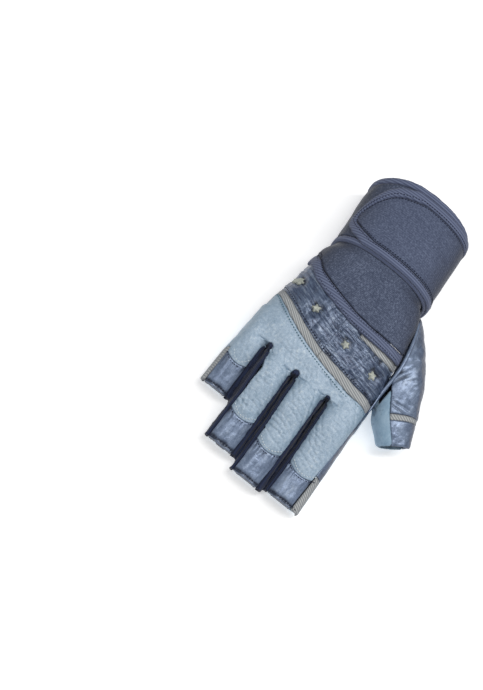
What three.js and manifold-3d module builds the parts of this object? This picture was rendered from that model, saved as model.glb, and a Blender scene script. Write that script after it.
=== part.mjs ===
// A weightlifting glove for the right hand, with half fingers and a wound wrist wrap.
// It lies palm down: X runs across the hand with the thumb at -X, Y runs along the fingers, Z is up, all in millimetres.
// Every piece is a wall of leather, suede or stretch cloth, cut from one hollow hand form or wound round it in layers.
import * as THREE from "three";
import { mergeVertices } from "three/addons/utils/BufferGeometryUtils.js";
import Module from "manifold-3d";

const wasm = await Module();
wasm.setup();

// The hand form
const handWidth = 102;
const wristWidth = 66.6;
const backHeight = 50;
const wristReach = 88;
const knuckleReach = 67;
const fingerReach = 68;
const cuffReach = 60;
const fingerGap = 0.5;
const tipHeight = 13.6;
const tipSlant = 0.2;

// Walls and layers
const wall = 1.6;
const wrapThickness = 1.8;
const padThickness = 2;
const gripPadHeight = 0.9;
const gap = 0.3;
const dig = 0.8;
const restFlat = 0.6;

// Trim
const bindingWidth = 7.5;
const strapBindingWidth = 6;
const ringBindingWidth = 5;
const wrapWidth = 60;
const endBulge = 3;
const outerEase = 9;
const innerEase = 3;
const strapWidth = 56;
const seamTapeWidth = 8;
const gussetWidth = 7.4;
const elasticWidth = 5.4;
const thumbBandWidth = 4.4;
const thumbTipLength = 17;
const thumbGussetWidth = 7;
const thumbSeamAtRoot = 17;
const thumbSeamAtTip = 3;
const starRadius = 3.4;
const gripDotRadius = 3.1;
const gripPadRadius = 4.7;

// Facets
const bodySides = 24;
const fingerSides = 14;
const innerBodySides = 20;
const innerFingerSides = 10;
const wrapSides = 24;
const roundSides = 8;

// The wrap's layers lie on the form one on another, and the lowest point of the outer one is flattened on the surface.
const cuffLayer = gap;
const ringLayer = cuffLayer + wrapThickness + gap;
const strapLayer = ringLayer + wrapThickness + gap;
const wristLift = strapLayer + wrapThickness - restFlat;

// Sections of the form, from the wrist to the knuckles. along is a share of wristReach below 0 and of knuckleReach above.
// spread goes from the wrist's width at 0 to the hand's at 1, lean is a share of handWidth, low of wristLift and high of backHeight.
const bodyRows = [
  { along: -1.08, spread: -0.01, lean: 0.046, low: 1.0, high: 0.94 },
  { along: -0.8, spread: 0.03, lean: 0.03, low: 1.0, high: 0.965 },
  { along: -0.51, spread: 0.01, lean: 0.01, low: 1.0, high: 0.97 },
  { along: -0.32, spread: 0.04, lean: 0.0, low: 0.9, high: 0.98 },
  { along: -0.23, spread: 0.29, lean: -0.005, low: 0.7, high: 1.0 },
  { along: -0.09, spread: 0.49, lean: -0.015, low: 0.55, high: 1.0 },
  { along: 0.15, spread: 0.69, lean: -0.02, low: 0.45, high: 0.96 },
  { along: 0.45, spread: 0.86, lean: -0.012, low: 0.45, high: 0.91 },
  { along: 0.78, spread: 0.94, lean: -0.01, low: 0.55, high: 0.84 },
  { along: 1.07, spread: 1.0, lean: -0.01, low: 0.7, high: 0.75 },
];
const roundAbove = 2.3;
const roundBelow = 3.2;
const widestAt = 0.42;

// The fingers. reach is the length past the knuckle as a share of fingerReach; start and knuckle are along, root and tip
// are centres and half the half width as shares of handWidth, fit is its share at the knuckle, crown is in backHeights.
const fingerRows = [
  { name: "index", reach: 1, start: 0.627, knuckle: 0.985, root: -0.366, tip: -0.404, half: 0.14, fit: 1, crown: 0.73 },
  { name: "middle", reach: 1.015, start: 0.627, knuckle: 1.015, root: -0.092, tip: -0.133, half: 0.132, fit: 1, crown: 0.776 },
  { name: "ring", reach: 0.929, start: 0.597, knuckle: 0.985, root: 0.168, tip: 0.13, half: 0.13, fit: 1, crown: 0.752 },
  { name: "pinky", reach: 0.618, start: 0.507, knuckle: 0.866, root: 0.388, tip: 0.386, half: 0.12, fit: 0.84, crown: 0.65 },
];

const fingerLow = [1.05, 0.77, 0.39, 0.07].map((share) => share * wristLift);

// The thumb's sections: centre and half sizes as shares of handWidth, and of backHeight for z and rise.
const thumbRows = [
  { x: -0.275, y: -0.255, z: 0.52, half: 0.06, rise: 0.16 },
  { x: -0.384, y: -0.078, z: 0.46, half: 0.122, rise: 0.235 },
  { x: -0.549, y: 0.167, z: 0.4, half: 0.142, rise: 0.32 },
  { x: -0.64, y: 0.374, z: 0.33, half: 0.152, rise: 0.27 },
  { x: -0.77, y: 0.559, z: 0.264, half: 0.111, rise: 0.212 },
];

// Seams that cross the back: along at each share of the half hand width.
const seamAcross = [-1.16, -1, -0.6, -0.2, 0, 0.2, 0.4, 0.6, 0.8, 0.95, 1.16];
const leatherSeam = [0.81, 0.82, 0.83, 0.79, 0.755, 0.71, 0.65, 0.57, 0.46, 0.34, 0.2];
const bandSeam = [0.71, 0.72, 0.724, 0.69, 0.668, 0.617, 0.55, 0.47, 0.37, 0.27, 0.16];
const rearSeam = [0.3, 0.31, 0.346, 0.315, 0.28, 0.24, 0.19, 0.12, 0.0, -0.06, -0.12];
const cuffSeam = [0.22, 0.235, 0.285, 0.3, 0.275, 0.235, 0.185, 0.115, -0.1, -0.3, -0.4];

// The thumb seam down the side of the hand, shares of the half hand width and along.
const thumbSeam = [
  { x: -0.95, y: 0.72 },
  { x: -0.968, y: 0.5 },
  { x: -0.96, y: 0.28 },
  { x: -0.93, y: 0.12 },
  { x: -0.87, y: -0.07 },
  { x: -0.76, y: -0.27 },
];

// Where the four stars of the band lie, and how far each is turned.
const starRows = [
  { x: -0.72, y: 0.525, turn: 0.2 },
  { x: -0.2, y: 0.48, turn: 0.5 },
  { x: 0.39, y: 0.365, turn: 0.1 },
  { x: 0.78, y: 0.19, turn: 0.6 },
];

// Where each finger's palm side has holes and raised pads, as shares of fingerReach past knuckleReach.
const gripRows = [
  { finger: "index", holes: [0.6, 0.13], pads: [0.82, 0.37] },
  { finger: "middle", holes: [0.6, 0.15], pads: [0.84, 0.38] },
  { finger: "ring", holes: [0.47, 0.06], pads: [0.7, 0.295] },
  { finger: "pinky", holes: [0.15], pads: [0.35, -0.075] },
];

// Outlines of the palm's patches, x as a share of the half hand width and y along.
const patchOutline = [
  { x: 0.27, y: 0.85 }, { x: 0.2, y: 0.9 }, { x: 0, y: 0.86 }, { x: -0.22, y: 0.9 }, { x: -0.36, y: 0.975 },
  { x: -0.48, y: 0.98 }, { x: -0.6, y: 0.94 }, { x: -0.78, y: 0.965 }, { x: -0.9, y: 0.99 }, { x: -0.93, y: 0.9 },
  { x: -0.88, y: 0.73 }, { x: -0.78, y: 0.695 }, { x: -0.42, y: 0.68 }, { x: -0.02, y: 0.615 }, { x: 0.12, y: 0.57 },
  { x: 0.22, y: 0.62 },
];
const heelPadRows = {
  heel_pad_outer: [
    { x: 0.75, y: 0.77 }, { x: 0.65, y: 0.82 }, { x: 0.53, y: 0.75 }, { x: 0.18, y: 0.5 }, { x: 0.1, y: 0.38 },
    { x: 0.18, y: 0.32 }, { x: 0.57, y: 0.18 }, { x: 0.67, y: 0.19 }, { x: 0.71, y: 0.4 },
  ],
  heel_pad_long: [
    { x: -0.4, y: 0.37 }, { x: -0.37, y: 0.43 }, { x: -0.22, y: 0.445 }, { x: -0.02, y: 0.385 }, { x: 0.27, y: 0.255 },
    { x: 0.57, y: 0.127 }, { x: 0.69, y: 0.04 }, { x: 0.7, y: -0.05 }, { x: 0.61, y: -0.15 }, { x: 0.47, y: -0.2 },
    { x: 0.34, y: -0.2 }, { x: 0.29, y: -0.14 }, { x: 0.18, y: -0.05 }, { x: -0.12, y: 0.11 }, { x: -0.31, y: 0.255 },
  ],
  heel_pad_inner: [
    { x: -0.32, y: 0.08 }, { x: -0.23, y: 0.085 }, { x: -0.12, y: -0.01 }, { x: 0.05, y: -0.13 }, { x: 0.17, y: -0.22 },
    { x: 0.0, y: -0.245 }, { x: -0.2, y: -0.25 }, { x: -0.29, y: -0.2 }, { x: -0.35, y: -0.06 }, { x: -0.37, y: 0.02 },
  ],
};
// The curve where the thumb's suede ends on the palm, from the wrist to the crotch of the thumb.
const thumbPalmSeam = [
  { x: -0.6, y: -0.3 }, { x: -0.53, y: -0.2 }, { x: -0.49, y: -0.02 }, { x: -0.5, y: 0.12 }, { x: -0.58, y: 0.28 },
  { x: -0.72, y: 0.46 }, { x: -0.92, y: 0.61 }, { x: -1.03, y: 0.66 },
];
const palmSuedeSeam = [0.66, 0.66, 0.64, 0.62, 0.61, 0.6, 0.6, 0.595, 0.6, 0.61, 0.61];

// The rounded tab of the strap: where it ends, in degrees from the little finger's side, at shares of its width.
const tabRows = [
  { across: 0, end: 80 }, { across: 0.07, end: 66 }, { across: 0.14, end: 54 }, { across: 0.3, end: 41 },
  { across: 0.5, end: 29 }, { across: 0.68, end: 21 }, { across: 0.76, end: 20.5 }, { across: 0.84, end: 27 },
  { across: 0.92, end: 41 }, { across: 1, end: 58 },
];
const strapStart = -70;
const patchEnd = -176;
const cuffPalmEnd = -135;

const halfHand = handWidth / 2;
const along = (share) => share * (share < 0 ? wristReach : knuckleReach);
const across = (share) => share * halfHand;
const mix = (a, b, t) => a + (b - a) * t;
const degrees = Math.PI / 180;
const farOut = 3 * backHeight;

// A smooth curve through the points (xs, ys) that never overshoots them, as a function of x.
function curveThrough(xs, ys) {
  const last = xs.length - 1;
  const slope = xs.slice(1).map((x, i) => (ys[i + 1] - ys[i]) / (x - xs[i]));
  const tangent = ys.map((_, i) => {
    if (i === 0) return slope[0];
    if (i === last) return slope[last - 1];
    const [before, after] = [slope[i - 1], slope[i]];
    return before * after <= 0 ? 0 : (2 * before * after) / (before + after);
  });
  return (x) => {
    const held = Math.min(Math.max(x, xs[0]), xs[last]);
    const i = Math.min(Math.max(xs.findIndex((v) => v > held) - 1, 0), last - 1);
    const span = held === xs[last] ? last - 1 : i;
    const h = xs[span + 1] - xs[span];
    const t = (held - xs[span]) / h;
    const [a, b] = [ys[span], ys[span + 1]];
    const ease = t * t * (3 - 2 * t);
    const lead = t * (1 - t) * (1 - t) * tangent[span] - t * t * (1 - t) * tangent[span + 1];
    return mix(a, b, ease) + h * lead;
  };
}

const columnOf = (rows, name, scale = 1) => rows.map((row) => row[name] * scale);
const bodyAlong = bodyRows.map((row) => along(row.along));
const bodySpread = curveThrough(bodyAlong, columnOf(bodyRows, "spread"));
const bodyLean = curveThrough(bodyAlong, columnOf(bodyRows, "lean", handWidth));
const bodyLow = curveThrough(bodyAlong, columnOf(bodyRows, "low", wristLift));
const bodyHigh = curveThrough(bodyAlong, columnOf(bodyRows, "high", backHeight));

// The body's section at y: its centre, half width, and heights above and below its widest line.
function bodySection(y) {
  const low = bodyLow(y);
  const high = bodyHigh(y);
  const z = mix(low, high, widestAt);
  return { x: bodyLean(y), z, half: mix(wristWidth, handWidth, bodySpread(y)) / 2, above: high - z, below: z - low };
}

// The point at an angle on a rounded section, moved out by offset. Angle 0 is +X and 90 degrees is up.
function sectionPoint(section, angle, y, offset, above = roundAbove, below = roundBelow) {
  const c = Math.cos(angle);
  const s = Math.sin(angle);
  const power = 2 / (s >= 0 ? above : below);
  const height = s >= 0 ? section.above : section.below;
  return new THREE.Vector3(
    section.x + Math.sign(c) * Math.abs(c) ** power * (section.half + offset),
    y,
    section.z + Math.sign(s) * Math.abs(s) ** power * (height + offset),
  );
}
const bodyPoint = (angle, y, offset) => sectionPoint(bodySection(y), angle, y, offset);

// A closed tube through rings of points that all have the same count, capped at both ends.
function loft(rings) {
  const count = rings[0].length;
  const points = rings.flat();
  const index = [];
  const cap = (ring, flip) => {
    const centre = points.length;
    points.push(rings[ring].reduce((sum, p) => sum.add(p), new THREE.Vector3()).divideScalar(count));
    for (let i = 0; i < count; i++) {
      const a = ring * count + i;
      const b = ring * count + ((i + 1) % count);
      index.push(...(flip ? [centre, b, a] : [centre, a, b]));
    }
  };
  for (let r = 0; r + 1 < rings.length; r++)
    for (let i = 0; i < count; i++) {
      const a = r * count + i;
      const b = r * count + ((i + 1) % count);
      index.push(a, a + count, b, b, a + count, b + count);
    }
  cap(0, false);
  cap(rings.length - 1, true);
  return solidFrom(new THREE.BufferGeometry().setFromPoints(points).setIndex(index));
}

// A wall between two offsets of a surface, over a grid of u and v. place(u, v, offset) gives its points.
function wallPatch(uSteps, vSteps, inner, outer, place, closed = false) {
  const points = [];
  for (const offset of [outer, inner])
    for (let v = 0; v <= vSteps; v++)
      for (let u = 0; u <= uSteps - (closed ? 1 : 0); u++) points.push(place(u / uSteps, v / vSteps, offset));
  const width = uSteps + (closed ? 0 : 1);
  const layer = width * (vSteps + 1);
  const at = (u, v, side) => side * layer + v * width + (closed ? u % width : u);
  const index = [];
  const quad = (a, b, c, d) => index.push(a, b, c, a, c, d);
  for (let v = 0; v < vSteps; v++)
    for (let u = 0; u < uSteps; u++) {
      quad(at(u, v, 0), at(u + 1, v, 0), at(u + 1, v + 1, 0), at(u, v + 1, 0));
      quad(at(u, v, 1), at(u, v + 1, 1), at(u + 1, v + 1, 1), at(u + 1, v, 1));
    }
  for (let u = 0; u < uSteps; u++) {
    quad(at(u, 0, 1), at(u + 1, 0, 1), at(u + 1, 0, 0), at(u, 0, 0));
    quad(at(u, vSteps, 0), at(u + 1, vSteps, 0), at(u + 1, vSteps, 1), at(u, vSteps, 1));
  }
  if (!closed)
    for (let v = 0; v < vSteps; v++) {
      quad(at(0, v, 0), at(0, v + 1, 0), at(0, v + 1, 1), at(0, v, 1));
      quad(at(uSteps, v, 1), at(uSteps, v + 1, 1), at(uSteps, v + 1, 0), at(uSteps, v, 0));
    }
  return solidFrom(new THREE.BufferGeometry().setFromPoints(points).setIndex(index));
}

// Solids for cutting and joining
function solidFrom(geometry) {
  geometry.deleteAttribute("normal");
  geometry.deleteAttribute("uv");
  const merged = mergeVertices(geometry, 1e-4);
  const made = (triVerts) =>
    new wasm.Manifold(
      new wasm.Mesh({ numProp: 3, vertProperties: merged.attributes.position.array, triVerts }),
    );
  const solid = made(new Uint32Array(merged.index.array));
  if (solid.volume() >= 0) return solid;
  return made(new Uint32Array(merged.index.array).map((_, i, all) => all[i - (i % 3) + (2 - (i % 3))]));
}
const joined = (solids) => solids.reduce((sum, solid) => sum.add(solid));
const largest = (solid) =>
  solid.decompose().reduce((best, part) => (part.volume() > best.volume() ? part : best));

// An outline moved outward by distance, or inward where it is negative. Points may run either way round.
function moved(points, distance) {
  const turn = THREE.ShapeUtils.area(points) > 0 ? 1 : -1;
  return points.map((p, i) => {
    const before = points[(i + points.length - 1) % points.length];
    const after = points[(i + 1) % points.length];
    const a = p.clone().sub(before).normalize();
    const b = after.clone().sub(p).normalize();
    const normal = new THREE.Vector2(a.y + b.y, -a.x - b.x).normalize();
    const stretch = Math.max(normal.dot(new THREE.Vector2(a.y, -a.x)), 0.4);
    return p.clone().addScaledVector(normal, (turn * distance) / stretch);
  });
}
function prism(points, grow = 0, low = -farOut, high = farOut) {
  const shape = new THREE.Shape(grow ? moved(points, grow) : points);
  const geometry = new THREE.ExtrudeGeometry(shape, { depth: high - low, bevelEnabled: false });
  return solidFrom(geometry.translate(0, 0, low));
}
const smoothLoop = (rows, count) =>
  new THREE.CatmullRomCurve3(rows.map((r) => new THREE.Vector3(across(r.x), along(r.y), 0)), true)
    .getSpacedPoints(count)
    .slice(0, count)
    .map((p) => new THREE.Vector2(p.x, p.y));
const circle = (x, y, radius) =>
  new THREE.EllipseCurve(x, y, radius, radius).getPoints(roundSides).slice(0, roundSides);
const seamLine = (shares) => {
  const curve = curveThrough(seamAcross, shares);
  return (x) => along(curve(x / halfHand));
};
const seamX = seamAcross.map(across);

// The fingers' sections, worked out from the rows
const fingers = fingerRows.map((row) => {
  const knuckle = along(row.knuckle);
  const start = along(row.start);
  const tipY = knuckle + row.reach * fingerReach;
  const bend = mix(knuckle, tipY, 0.48);
  const half = row.half * handWidth - fingerGap / 2;
  const stations = [start, knuckle, bend, tipY];
  const rootX = row.root * handWidth;
  const tipX = row.tip * handWidth;
  const crown = row.crown * backHeight;
  return {
    name: row.name,
    start,
    knuckle,
    tipY,
    x: curveThrough(stations, [rootX, rootX, mix(rootX, tipX, 0.5), tipX]),
    half: curveThrough(stations, [half * 0.75, half * row.fit, half, half * 1.01]),
    low: curveThrough(stations, fingerLow),
    high: curveThrough(stations, [crown * 0.985, crown, mix(crown, tipHeight, 0.52), tipHeight]),
  };
});
const fingerNamed = (name) => fingers.find((finger) => finger.name === name);

function fingerSolid(finger, offset, past, sides) {
  const steps = 5;
  const stations = [finger.start, ...Array.from({ length: steps }, (_, i) => mix(finger.knuckle, finger.tipY, i / (steps - 1)))];
  if (past) stations.push(finger.tipY + past);
  const rings = stations.map((y) => {
    const low = finger.low(y);
    const high = finger.high(y);
    const z = (low + high) / 2;
    const section = { x: finger.x(y), z, half: finger.half(y), above: high - z, below: z - low };
    return Array.from({ length: sides }, (_, i) => {
      const p = sectionPoint(section, (i / sides) * 2 * Math.PI, y, offset, roundAbove, 2.6);
      return p.setY(y + tipSlant * (p.z - tipHeight / 2));
    });
  });
  return loft(rings);
}

const thumbPlace = thumbRows.map(
  (row) => new THREE.Vector3(row.x * handWidth, row.y * handWidth, row.z * backHeight),
);
const thumbLine = new THREE.CatmullRomCurve3(thumbPlace);
const thumbShares = thumbRows.map((_, i) => i / (thumbRows.length - 1));
const thumbHalf = curveThrough(thumbShares, columnOf(thumbRows, "half", handWidth));
const thumbRise = curveThrough(thumbShares, columnOf(thumbRows, "rise", backHeight));
// The thumb's own directions at a share of its line: ahead, and to its inner side, both level.
function thumbFrame(share) {
  const ahead = thumbLine.getTangent(share).setZ(0).normalize();
  return { centre: thumbLine.getPoint(share), ahead, inward: new THREE.Vector3(ahead.y, -ahead.x, 0) };
}
function thumbSolid(offset, past, sides) {
  const steps = 6;
  const rings = Array.from({ length: steps + 1 }, (_, i) => {
    const share = i / steps;
    const { centre, inward } = thumbFrame(share);
    return Array.from({ length: sides }, (_, k) => {
      const angle = (k / sides) * 2 * Math.PI;
      const size = { x: 0, z: 0, half: thumbHalf(share), above: thumbRise(share), below: thumbRise(share) };
      const flat = sectionPoint(size, angle, 0, offset, roundAbove, roundAbove);
      return centre.clone().addScaledVector(inward, flat.x).add(new THREE.Vector3(0, 0, flat.z));
    });
  });
  if (past) {
    const { ahead } = thumbFrame(1);
    rings.push(rings[steps].map((p) => p.clone().addScaledVector(ahead, past)));
  }
  return loft(rings);
}

// The hollow hand form: the body, four fingers and the thumb, open at the wrist and at every tip.
const crotchLine = (back) => [
  [-2, 0.985], [-0.5, 0.985], [0.1, 1.012], [0.42, 1.01], [0.62, 0.9], [2, 0.86],
].map(([x, y]) => new THREE.Vector2(across(x), along(y) - back));
const bodyStations = [-0.32, -0.25, -0.16, -0.045, 0.15, 0.36, 0.57, 0.78, 1.07].map(along);
function bodySolid(offset, from, sides) {
  const rings = [from, ...bodyStations].map((y) =>
    Array.from({ length: sides }, (_, k) => bodyPoint((k / sides) * 2 * Math.PI, y, offset)),
  );
  const front = crotchLine(-offset);
  const kept = [new THREE.Vector2(2 * halfHand, -2 * wristReach), new THREE.Vector2(-2 * halfHand, -2 * wristReach), ...front];
  return loft(rings).intersect(prism(kept));
}
const throughTips = 8;
function form(offset) {
  const tubes = fingers.map((finger) => fingerSolid(finger, offset, 0, fingerSides));
  return joined([bodySolid(offset, -cuffReach, bodySides), ...tubes, thumbSolid(offset, 0, fingerSides)]);
}
function hollow(offset, sides = innerFingerSides, bodyCount = innerBodySides) {
  const tubes = fingers.map((finger) => fingerSolid(finger, offset, throughTips, sides));
  return joined([bodySolid(offset, -cuffReach - throughTips, bodyCount), ...tubes, thumbSolid(offset, throughTips, sides)]);
}
const skin = form(0).subtract(hollow(-wall));

// The side seam parts the back from the palm: a solid above it and one below, in a slab for each finger.
const slabEdges = [-2 * handWidth, ...[0, 1, 2].map((i) => fingerMiddle(i)(knuckleReach * 1.5)), 2 * handWidth];
const slabLap = 0.05;
function fingerMiddle(i) {
  const [a, b] = [fingers[i], fingers[i + 1]];
  return (y) => (a.x(y) + a.half(y) + b.x(y) - b.half(y)) / 2;
}
function solidBox(width, from, to) {
  const box = new THREE.BoxGeometry(width, width, to - from);
  return solidFrom(box.translate(0, 0, (from + to) / 2));
}
const aboveSeam = joined(
  fingers.map((finger, i) => {
    const heights = [-2 * wristReach, -cuffReach, 0, 0.5 * knuckleReach].map(
      (y) => new THREE.Vector2(y, bodySection(y).z),
    );
    for (const share of [0, 0.5, 1]) {
      const y = mix(finger.knuckle, finger.tipY, share);
      heights.push(new THREE.Vector2(y, mix(finger.low(y), finger.high(y), 0.5)));
    }
    heights.push(new THREE.Vector2(2 * finger.tipY, tipHeight / 2));
    const top = [new THREE.Vector2(2 * finger.tipY, farOut), new THREE.Vector2(heights[0].x, farOut)];
    const depth = slabEdges[i + 1] - slabEdges[i] + slabLap;
    const geometry = new THREE.ExtrudeGeometry(new THREE.Shape([...heights, ...top]), { depth, bevelEnabled: false });
    // The profile is drawn in Y and Z, so its own x, y and depth turn to Y, Z and X.
    geometry.applyMatrix4(new THREE.Matrix4().set(0, 0, 1, slabEdges[i], 1, 0, 0, 0, 0, 1, 0, 0, 0, 0, 0, 1));
    return solidFrom(geometry);
  }),
);
const belowSeam = solidBox(8 * handWidth, -backHeight, backHeight).subtract(aboveSeam.translate([0, 0, -gap]));
const backHalf = skin.intersect(aboveSeam);
const palmHalf = skin.intersect(belowSeam);

// Regions seen from above, as outlines
const line = (y) => seamX.map((x) => new THREE.Vector2(x, y(x)));
const between = (upper, lower) => [...line(upper), ...line(lower).reverse()];
const leatherY = seamLine(leatherSeam);
const bandY = seamLine(bandSeam);
const rearY = seamLine(rearSeam);
const cuffY = seamLine(cuffSeam);
const suedeY = seamLine(palmSuedeSeam);
const farAhead = knuckleReach * 3;

const fromRows = (rows) => rows.map((r) => new THREE.Vector2(across(r.x), along(r.y)));
const thumbEdge = [
  ...fromRows(thumbSeam),
  new THREE.Vector2(across(-0.76), -2 * wristReach),
  new THREE.Vector2(-4 * halfHand, -2 * wristReach),
  new THREE.Vector2(-4 * halfHand, along(0.72)),
];
const indexSeamX = across(-0.955);
const indexEdge = [
  new THREE.Vector2(indexSeamX, along(0.72)),
  new THREE.Vector2(indexSeamX, farAhead),
  new THREE.Vector2(-1.5 * halfHand, farAhead),
  new THREE.Vector2(-1.5 * halfHand, along(0.72)),
];

// A gusset fills the walls between two fingers, from its rounded end on the knuckles to the tips.
function gussetOutline(i) {
  const middle = fingerMiddle(i);
  const crotch = Math.min(fingers[i].knuckle, fingers[i + 1].knuckle) + gussetWidth * (i === 2 ? 0.27 : -0.2);
  const half = gussetWidth / 2;
  const rounded = [150, 120, 90, 60, 30].map((a) => -a * degrees);
  const end = rounded.map(
    (a) => new THREE.Vector2(middle(crotch) + half * 0.72 * Math.cos(a), crotch + half * 0.72 * (1 + Math.sin(a))),
  );
  const stations = [crotch + half * 1.6, mix(crotch, farAhead, 0.18), mix(crotch, farAhead, 0.4), farAhead];
  const right = stations.map((y) => new THREE.Vector2(middle(y) + half, y));
  const left = stations.map((y) => new THREE.Vector2(middle(y) - half, y)).reverse();
  return [...left, ...end, ...right];
}
const gussets = [0, 1, 2].map(gussetOutline);

// The back leather's rounded tongue on a finger ends here; past it the finger has its own tip piece.
const tongueEnd = { index: 0.715, middle: 0.697, ring: 0.69, pinky: 0.55 };
const tongueRound = 4.5;
const tongueY = (finger) => mix(finger.knuckle, finger.tipY, tongueEnd[finger.name]);
function tipOutline(finger) {
  const end = tongueY(finger);
  const half = finger.half(end);
  const x = finger.x(end);
  const arch = [-1.3, -1, -0.75, -0.45, -0.15, 0.15, 0.45, 0.75, 1, 1.3].map((t) => {
    const drop = tongueRound * Math.min(t * t, 1.2);
    return new THREE.Vector2(x + t * half, end - drop);
  });
  return [...arch, new THREE.Vector2(x + 1.3 * half, farAhead), new THREE.Vector2(x - 1.3 * half, farAhead)];
}
const starOutline = ({ x, y, turn }) =>
  Array.from({ length: 10 }, (_, i) => {
    const radius = i % 2 ? starRadius * 0.48 : starRadius;
    const angle = turn + (i * Math.PI) / 5;
    return new THREE.Vector2(across(x) + radius * Math.cos(angle), along(y) + radius * Math.sin(angle));
  });

// The thumb's regions: strips beside its line, from one share of the line to another.
function thumbStrip(fromShare, toShare, outer, inner) {
  const steps = 6;
  const side = (reachAt) =>
    Array.from({ length: steps + 1 }, (_, i) => {
      const share = mix(fromShare, toShare, i / steps);
      const { centre, inward } = thumbFrame(share);
      const reach = reachAt(share);
      return new THREE.Vector2(centre.x + reach * inward.x, centre.y + reach * inward.y);
    });
  return [...side(outer), ...side(inner).reverse()];
}
const thumbLength = thumbLine.getLength();
const thumbTipFrom = 1 - thumbTipLength / thumbLength;
const thumbBandFrom = thumbTipFrom - thumbBandWidth / thumbLength;
const thumbUnder = 7;
const farSide = 0.3 * handWidth;
const outerSide = () => -farSide;
// The seam between the thumb's leather and its suede comes nearer the thumb's own line towards the tip.
const thumbSeamOut = (share) => mix(thumbSeamAtRoot, thumbSeamAtTip, share);
function thumbPast(outline, share) {
  const { ahead } = thumbFrame(share);
  const step = ahead.clone().multiplyScalar(farSide);
  return outline.map((p, i) => (i === 6 || i === 7 ? new THREE.Vector2(p.x + step.x, p.y + step.y) : p));
}
const thumbBackOutline = thumbStrip(0, thumbBandFrom, outerSide, thumbSeamOut).map((p, i) =>
  i === 0 || i === 13 ? new THREE.Vector2(p.x, -2 * wristReach) : p,
);
const thumbBandOutline = thumbStrip(thumbBandFrom, thumbTipFrom, outerSide, thumbSeamOut);
const thumbTipOutline = thumbPast(thumbStrip(thumbTipFrom, 1, outerSide, thumbSeamOut), 1);
const thumbGussetIn = () => -thumbHalf(0.8) + thumbGussetWidth;
const thumbGussetOutline = thumbPast(thumbStrip(0.12, 1, outerSide, thumbGussetIn), 1);

// Cutting helpers: a piece is its region drawn in by half the seam gap, less the regions that others own.
const seam = gap / 2;
const within = (source, ...outlines) =>
  outlines.reduce((kept, outline) => kept.intersect(prism(outline, -seam)), source);
const without = (source, ...outlines) =>
  outlines.reduce((kept, outline) => kept.subtract(prism(outline, seam)), source);
const slice = (source, low, high) => source.intersect(solidBox(8 * handWidth, low, high));
const aboveFloor = (solid) => slice(solid, 0, farOut);

// Finishes, one for each kind of material
const finish = (color, roughness, metalness = 0) => new THREE.MeshStandardMaterial({ color, roughness, metalness });
const skyLeather = finish(0x9fb9cc, 0.45);
const navyLeather = finish(0x59647f, 0.38, 0.25);
const bandLeather = finish(0x57637c, 0.3, 0.25);
const skySuede = finish(0x87a9cc, 0.9);
const charcoalCloth = finish(0x3f3d54, 0.95);
const slateCloth = finish(0x4c566b, 0.9);
const bindingCloth = finish(0x444a66, 0.85);
const gussetCloth = finish(0x1d2744, 0.8);
const beigeElastic = finish(0xaeb0ac, 0.85);

const glove = new THREE.Group();
function addPiece(name, solid, material) {
  const { vertProperties, triVerts, numProp } = largest(solid).getMesh();
  const points = [];
  for (let i = 0; i < vertProperties.length; i += numProp)
    points.push(new THREE.Vector3(...vertProperties.subarray(i, i + 3)));
  const geometry = new THREE.BufferGeometry().setFromPoints(points).setIndex([...triVerts]);
  const mesh = new THREE.Mesh(geometry, material);
  mesh.name = name;
  glove.add(mesh);
}

// The elastics down the outer sides of the index and little fingers
function fingerSide(name, side) {
  const finger = fingerNamed(name);
  const y = mix(finger.knuckle, finger.tipY, 0.82);
  return finger.x(y) + side * finger.half(y);
}
const outerElastic = {
  index: [-2 * handWidth, fingerSide("index", -1) + elasticWidth],
  pinky: [fingerSide("pinky", 1) - elasticWidth * 0.6, 2 * handWidth],
};
const elasticOutline = (name) => {
  const [left, right] = outerElastic[name];
  const from = tongueY(fingerNamed(name)) - tongueRound * 1.4;
  return [
    new THREE.Vector2(left, from),
    new THREE.Vector2(right, from),
    new THREE.Vector2(right, farAhead),
    new THREE.Vector2(left, farAhead),
  ];
};
const elastics = { index: elasticOutline("index"), pinky: elasticOutline("pinky") };

// The back of the hand, from the fingers to the cuff
const fingerTips = fingers.map(tipOutline);
const stars = starRows.map(starOutline);
const onBack = without(backHalf, thumbEdge, indexEdge, ...gussets, ...Object.values(elastics));
const ahead = between(() => farAhead, leatherY);
addPiece("back_leather", without(within(onBack, ahead), ...fingerTips), skyLeather);
addPiece("front_elastic", within(onBack, between(leatherY, bandY)), beigeElastic);
const underBinding = (x) => cuffY(x) - bindingWidth * 0.6;
const rearEnd = across(-0.28);
const rearWedge = [...seamX.filter((x) => x < rearEnd - 1), rearEnd].map((x) => new THREE.Vector2(x, rearY(x)));
rearWedge.push(new THREE.Vector2(rearEnd, -farAhead), new THREE.Vector2(seamX[0], -farAhead));
const band = without(within(onBack, between(bandY, underBinding)), rearWedge, ...stars);
addPiece("star_band", band, bandLeather);
stars.forEach((outline, i) => addPiece(`star_${i + 1}`, within(onBack, outline), beigeElastic));
addPiece("rear_elastic", within(onBack, rearWedge, between(() => farAhead, underBinding)), beigeElastic);

// Finger tips, their side elastics and the gussets
fingers.forEach((finger, i) => {
  const others = Object.values(elastics);
  const tip = without(within(backHalf, fingerTips[i]), indexEdge, ...gussets, ...others);
  addPiece(`${finger.name}_tip`, tip, navyLeather);
});
addPiece("index_side", without(within(backHalf, indexEdge), elastics.index), navyLeather);
addPiece("index_elastic", within(backHalf, elastics.index), beigeElastic);
addPiece("pinky_elastic", within(aboveFloor(skin), elastics.pinky), beigeElastic);
gussets.forEach((outline, i) =>
  addPiece(`gusset_${fingers[i].name}_${fingers[i + 1].name}`, aboveFloor(within(skin, outline)), gussetCloth),
);

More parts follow.
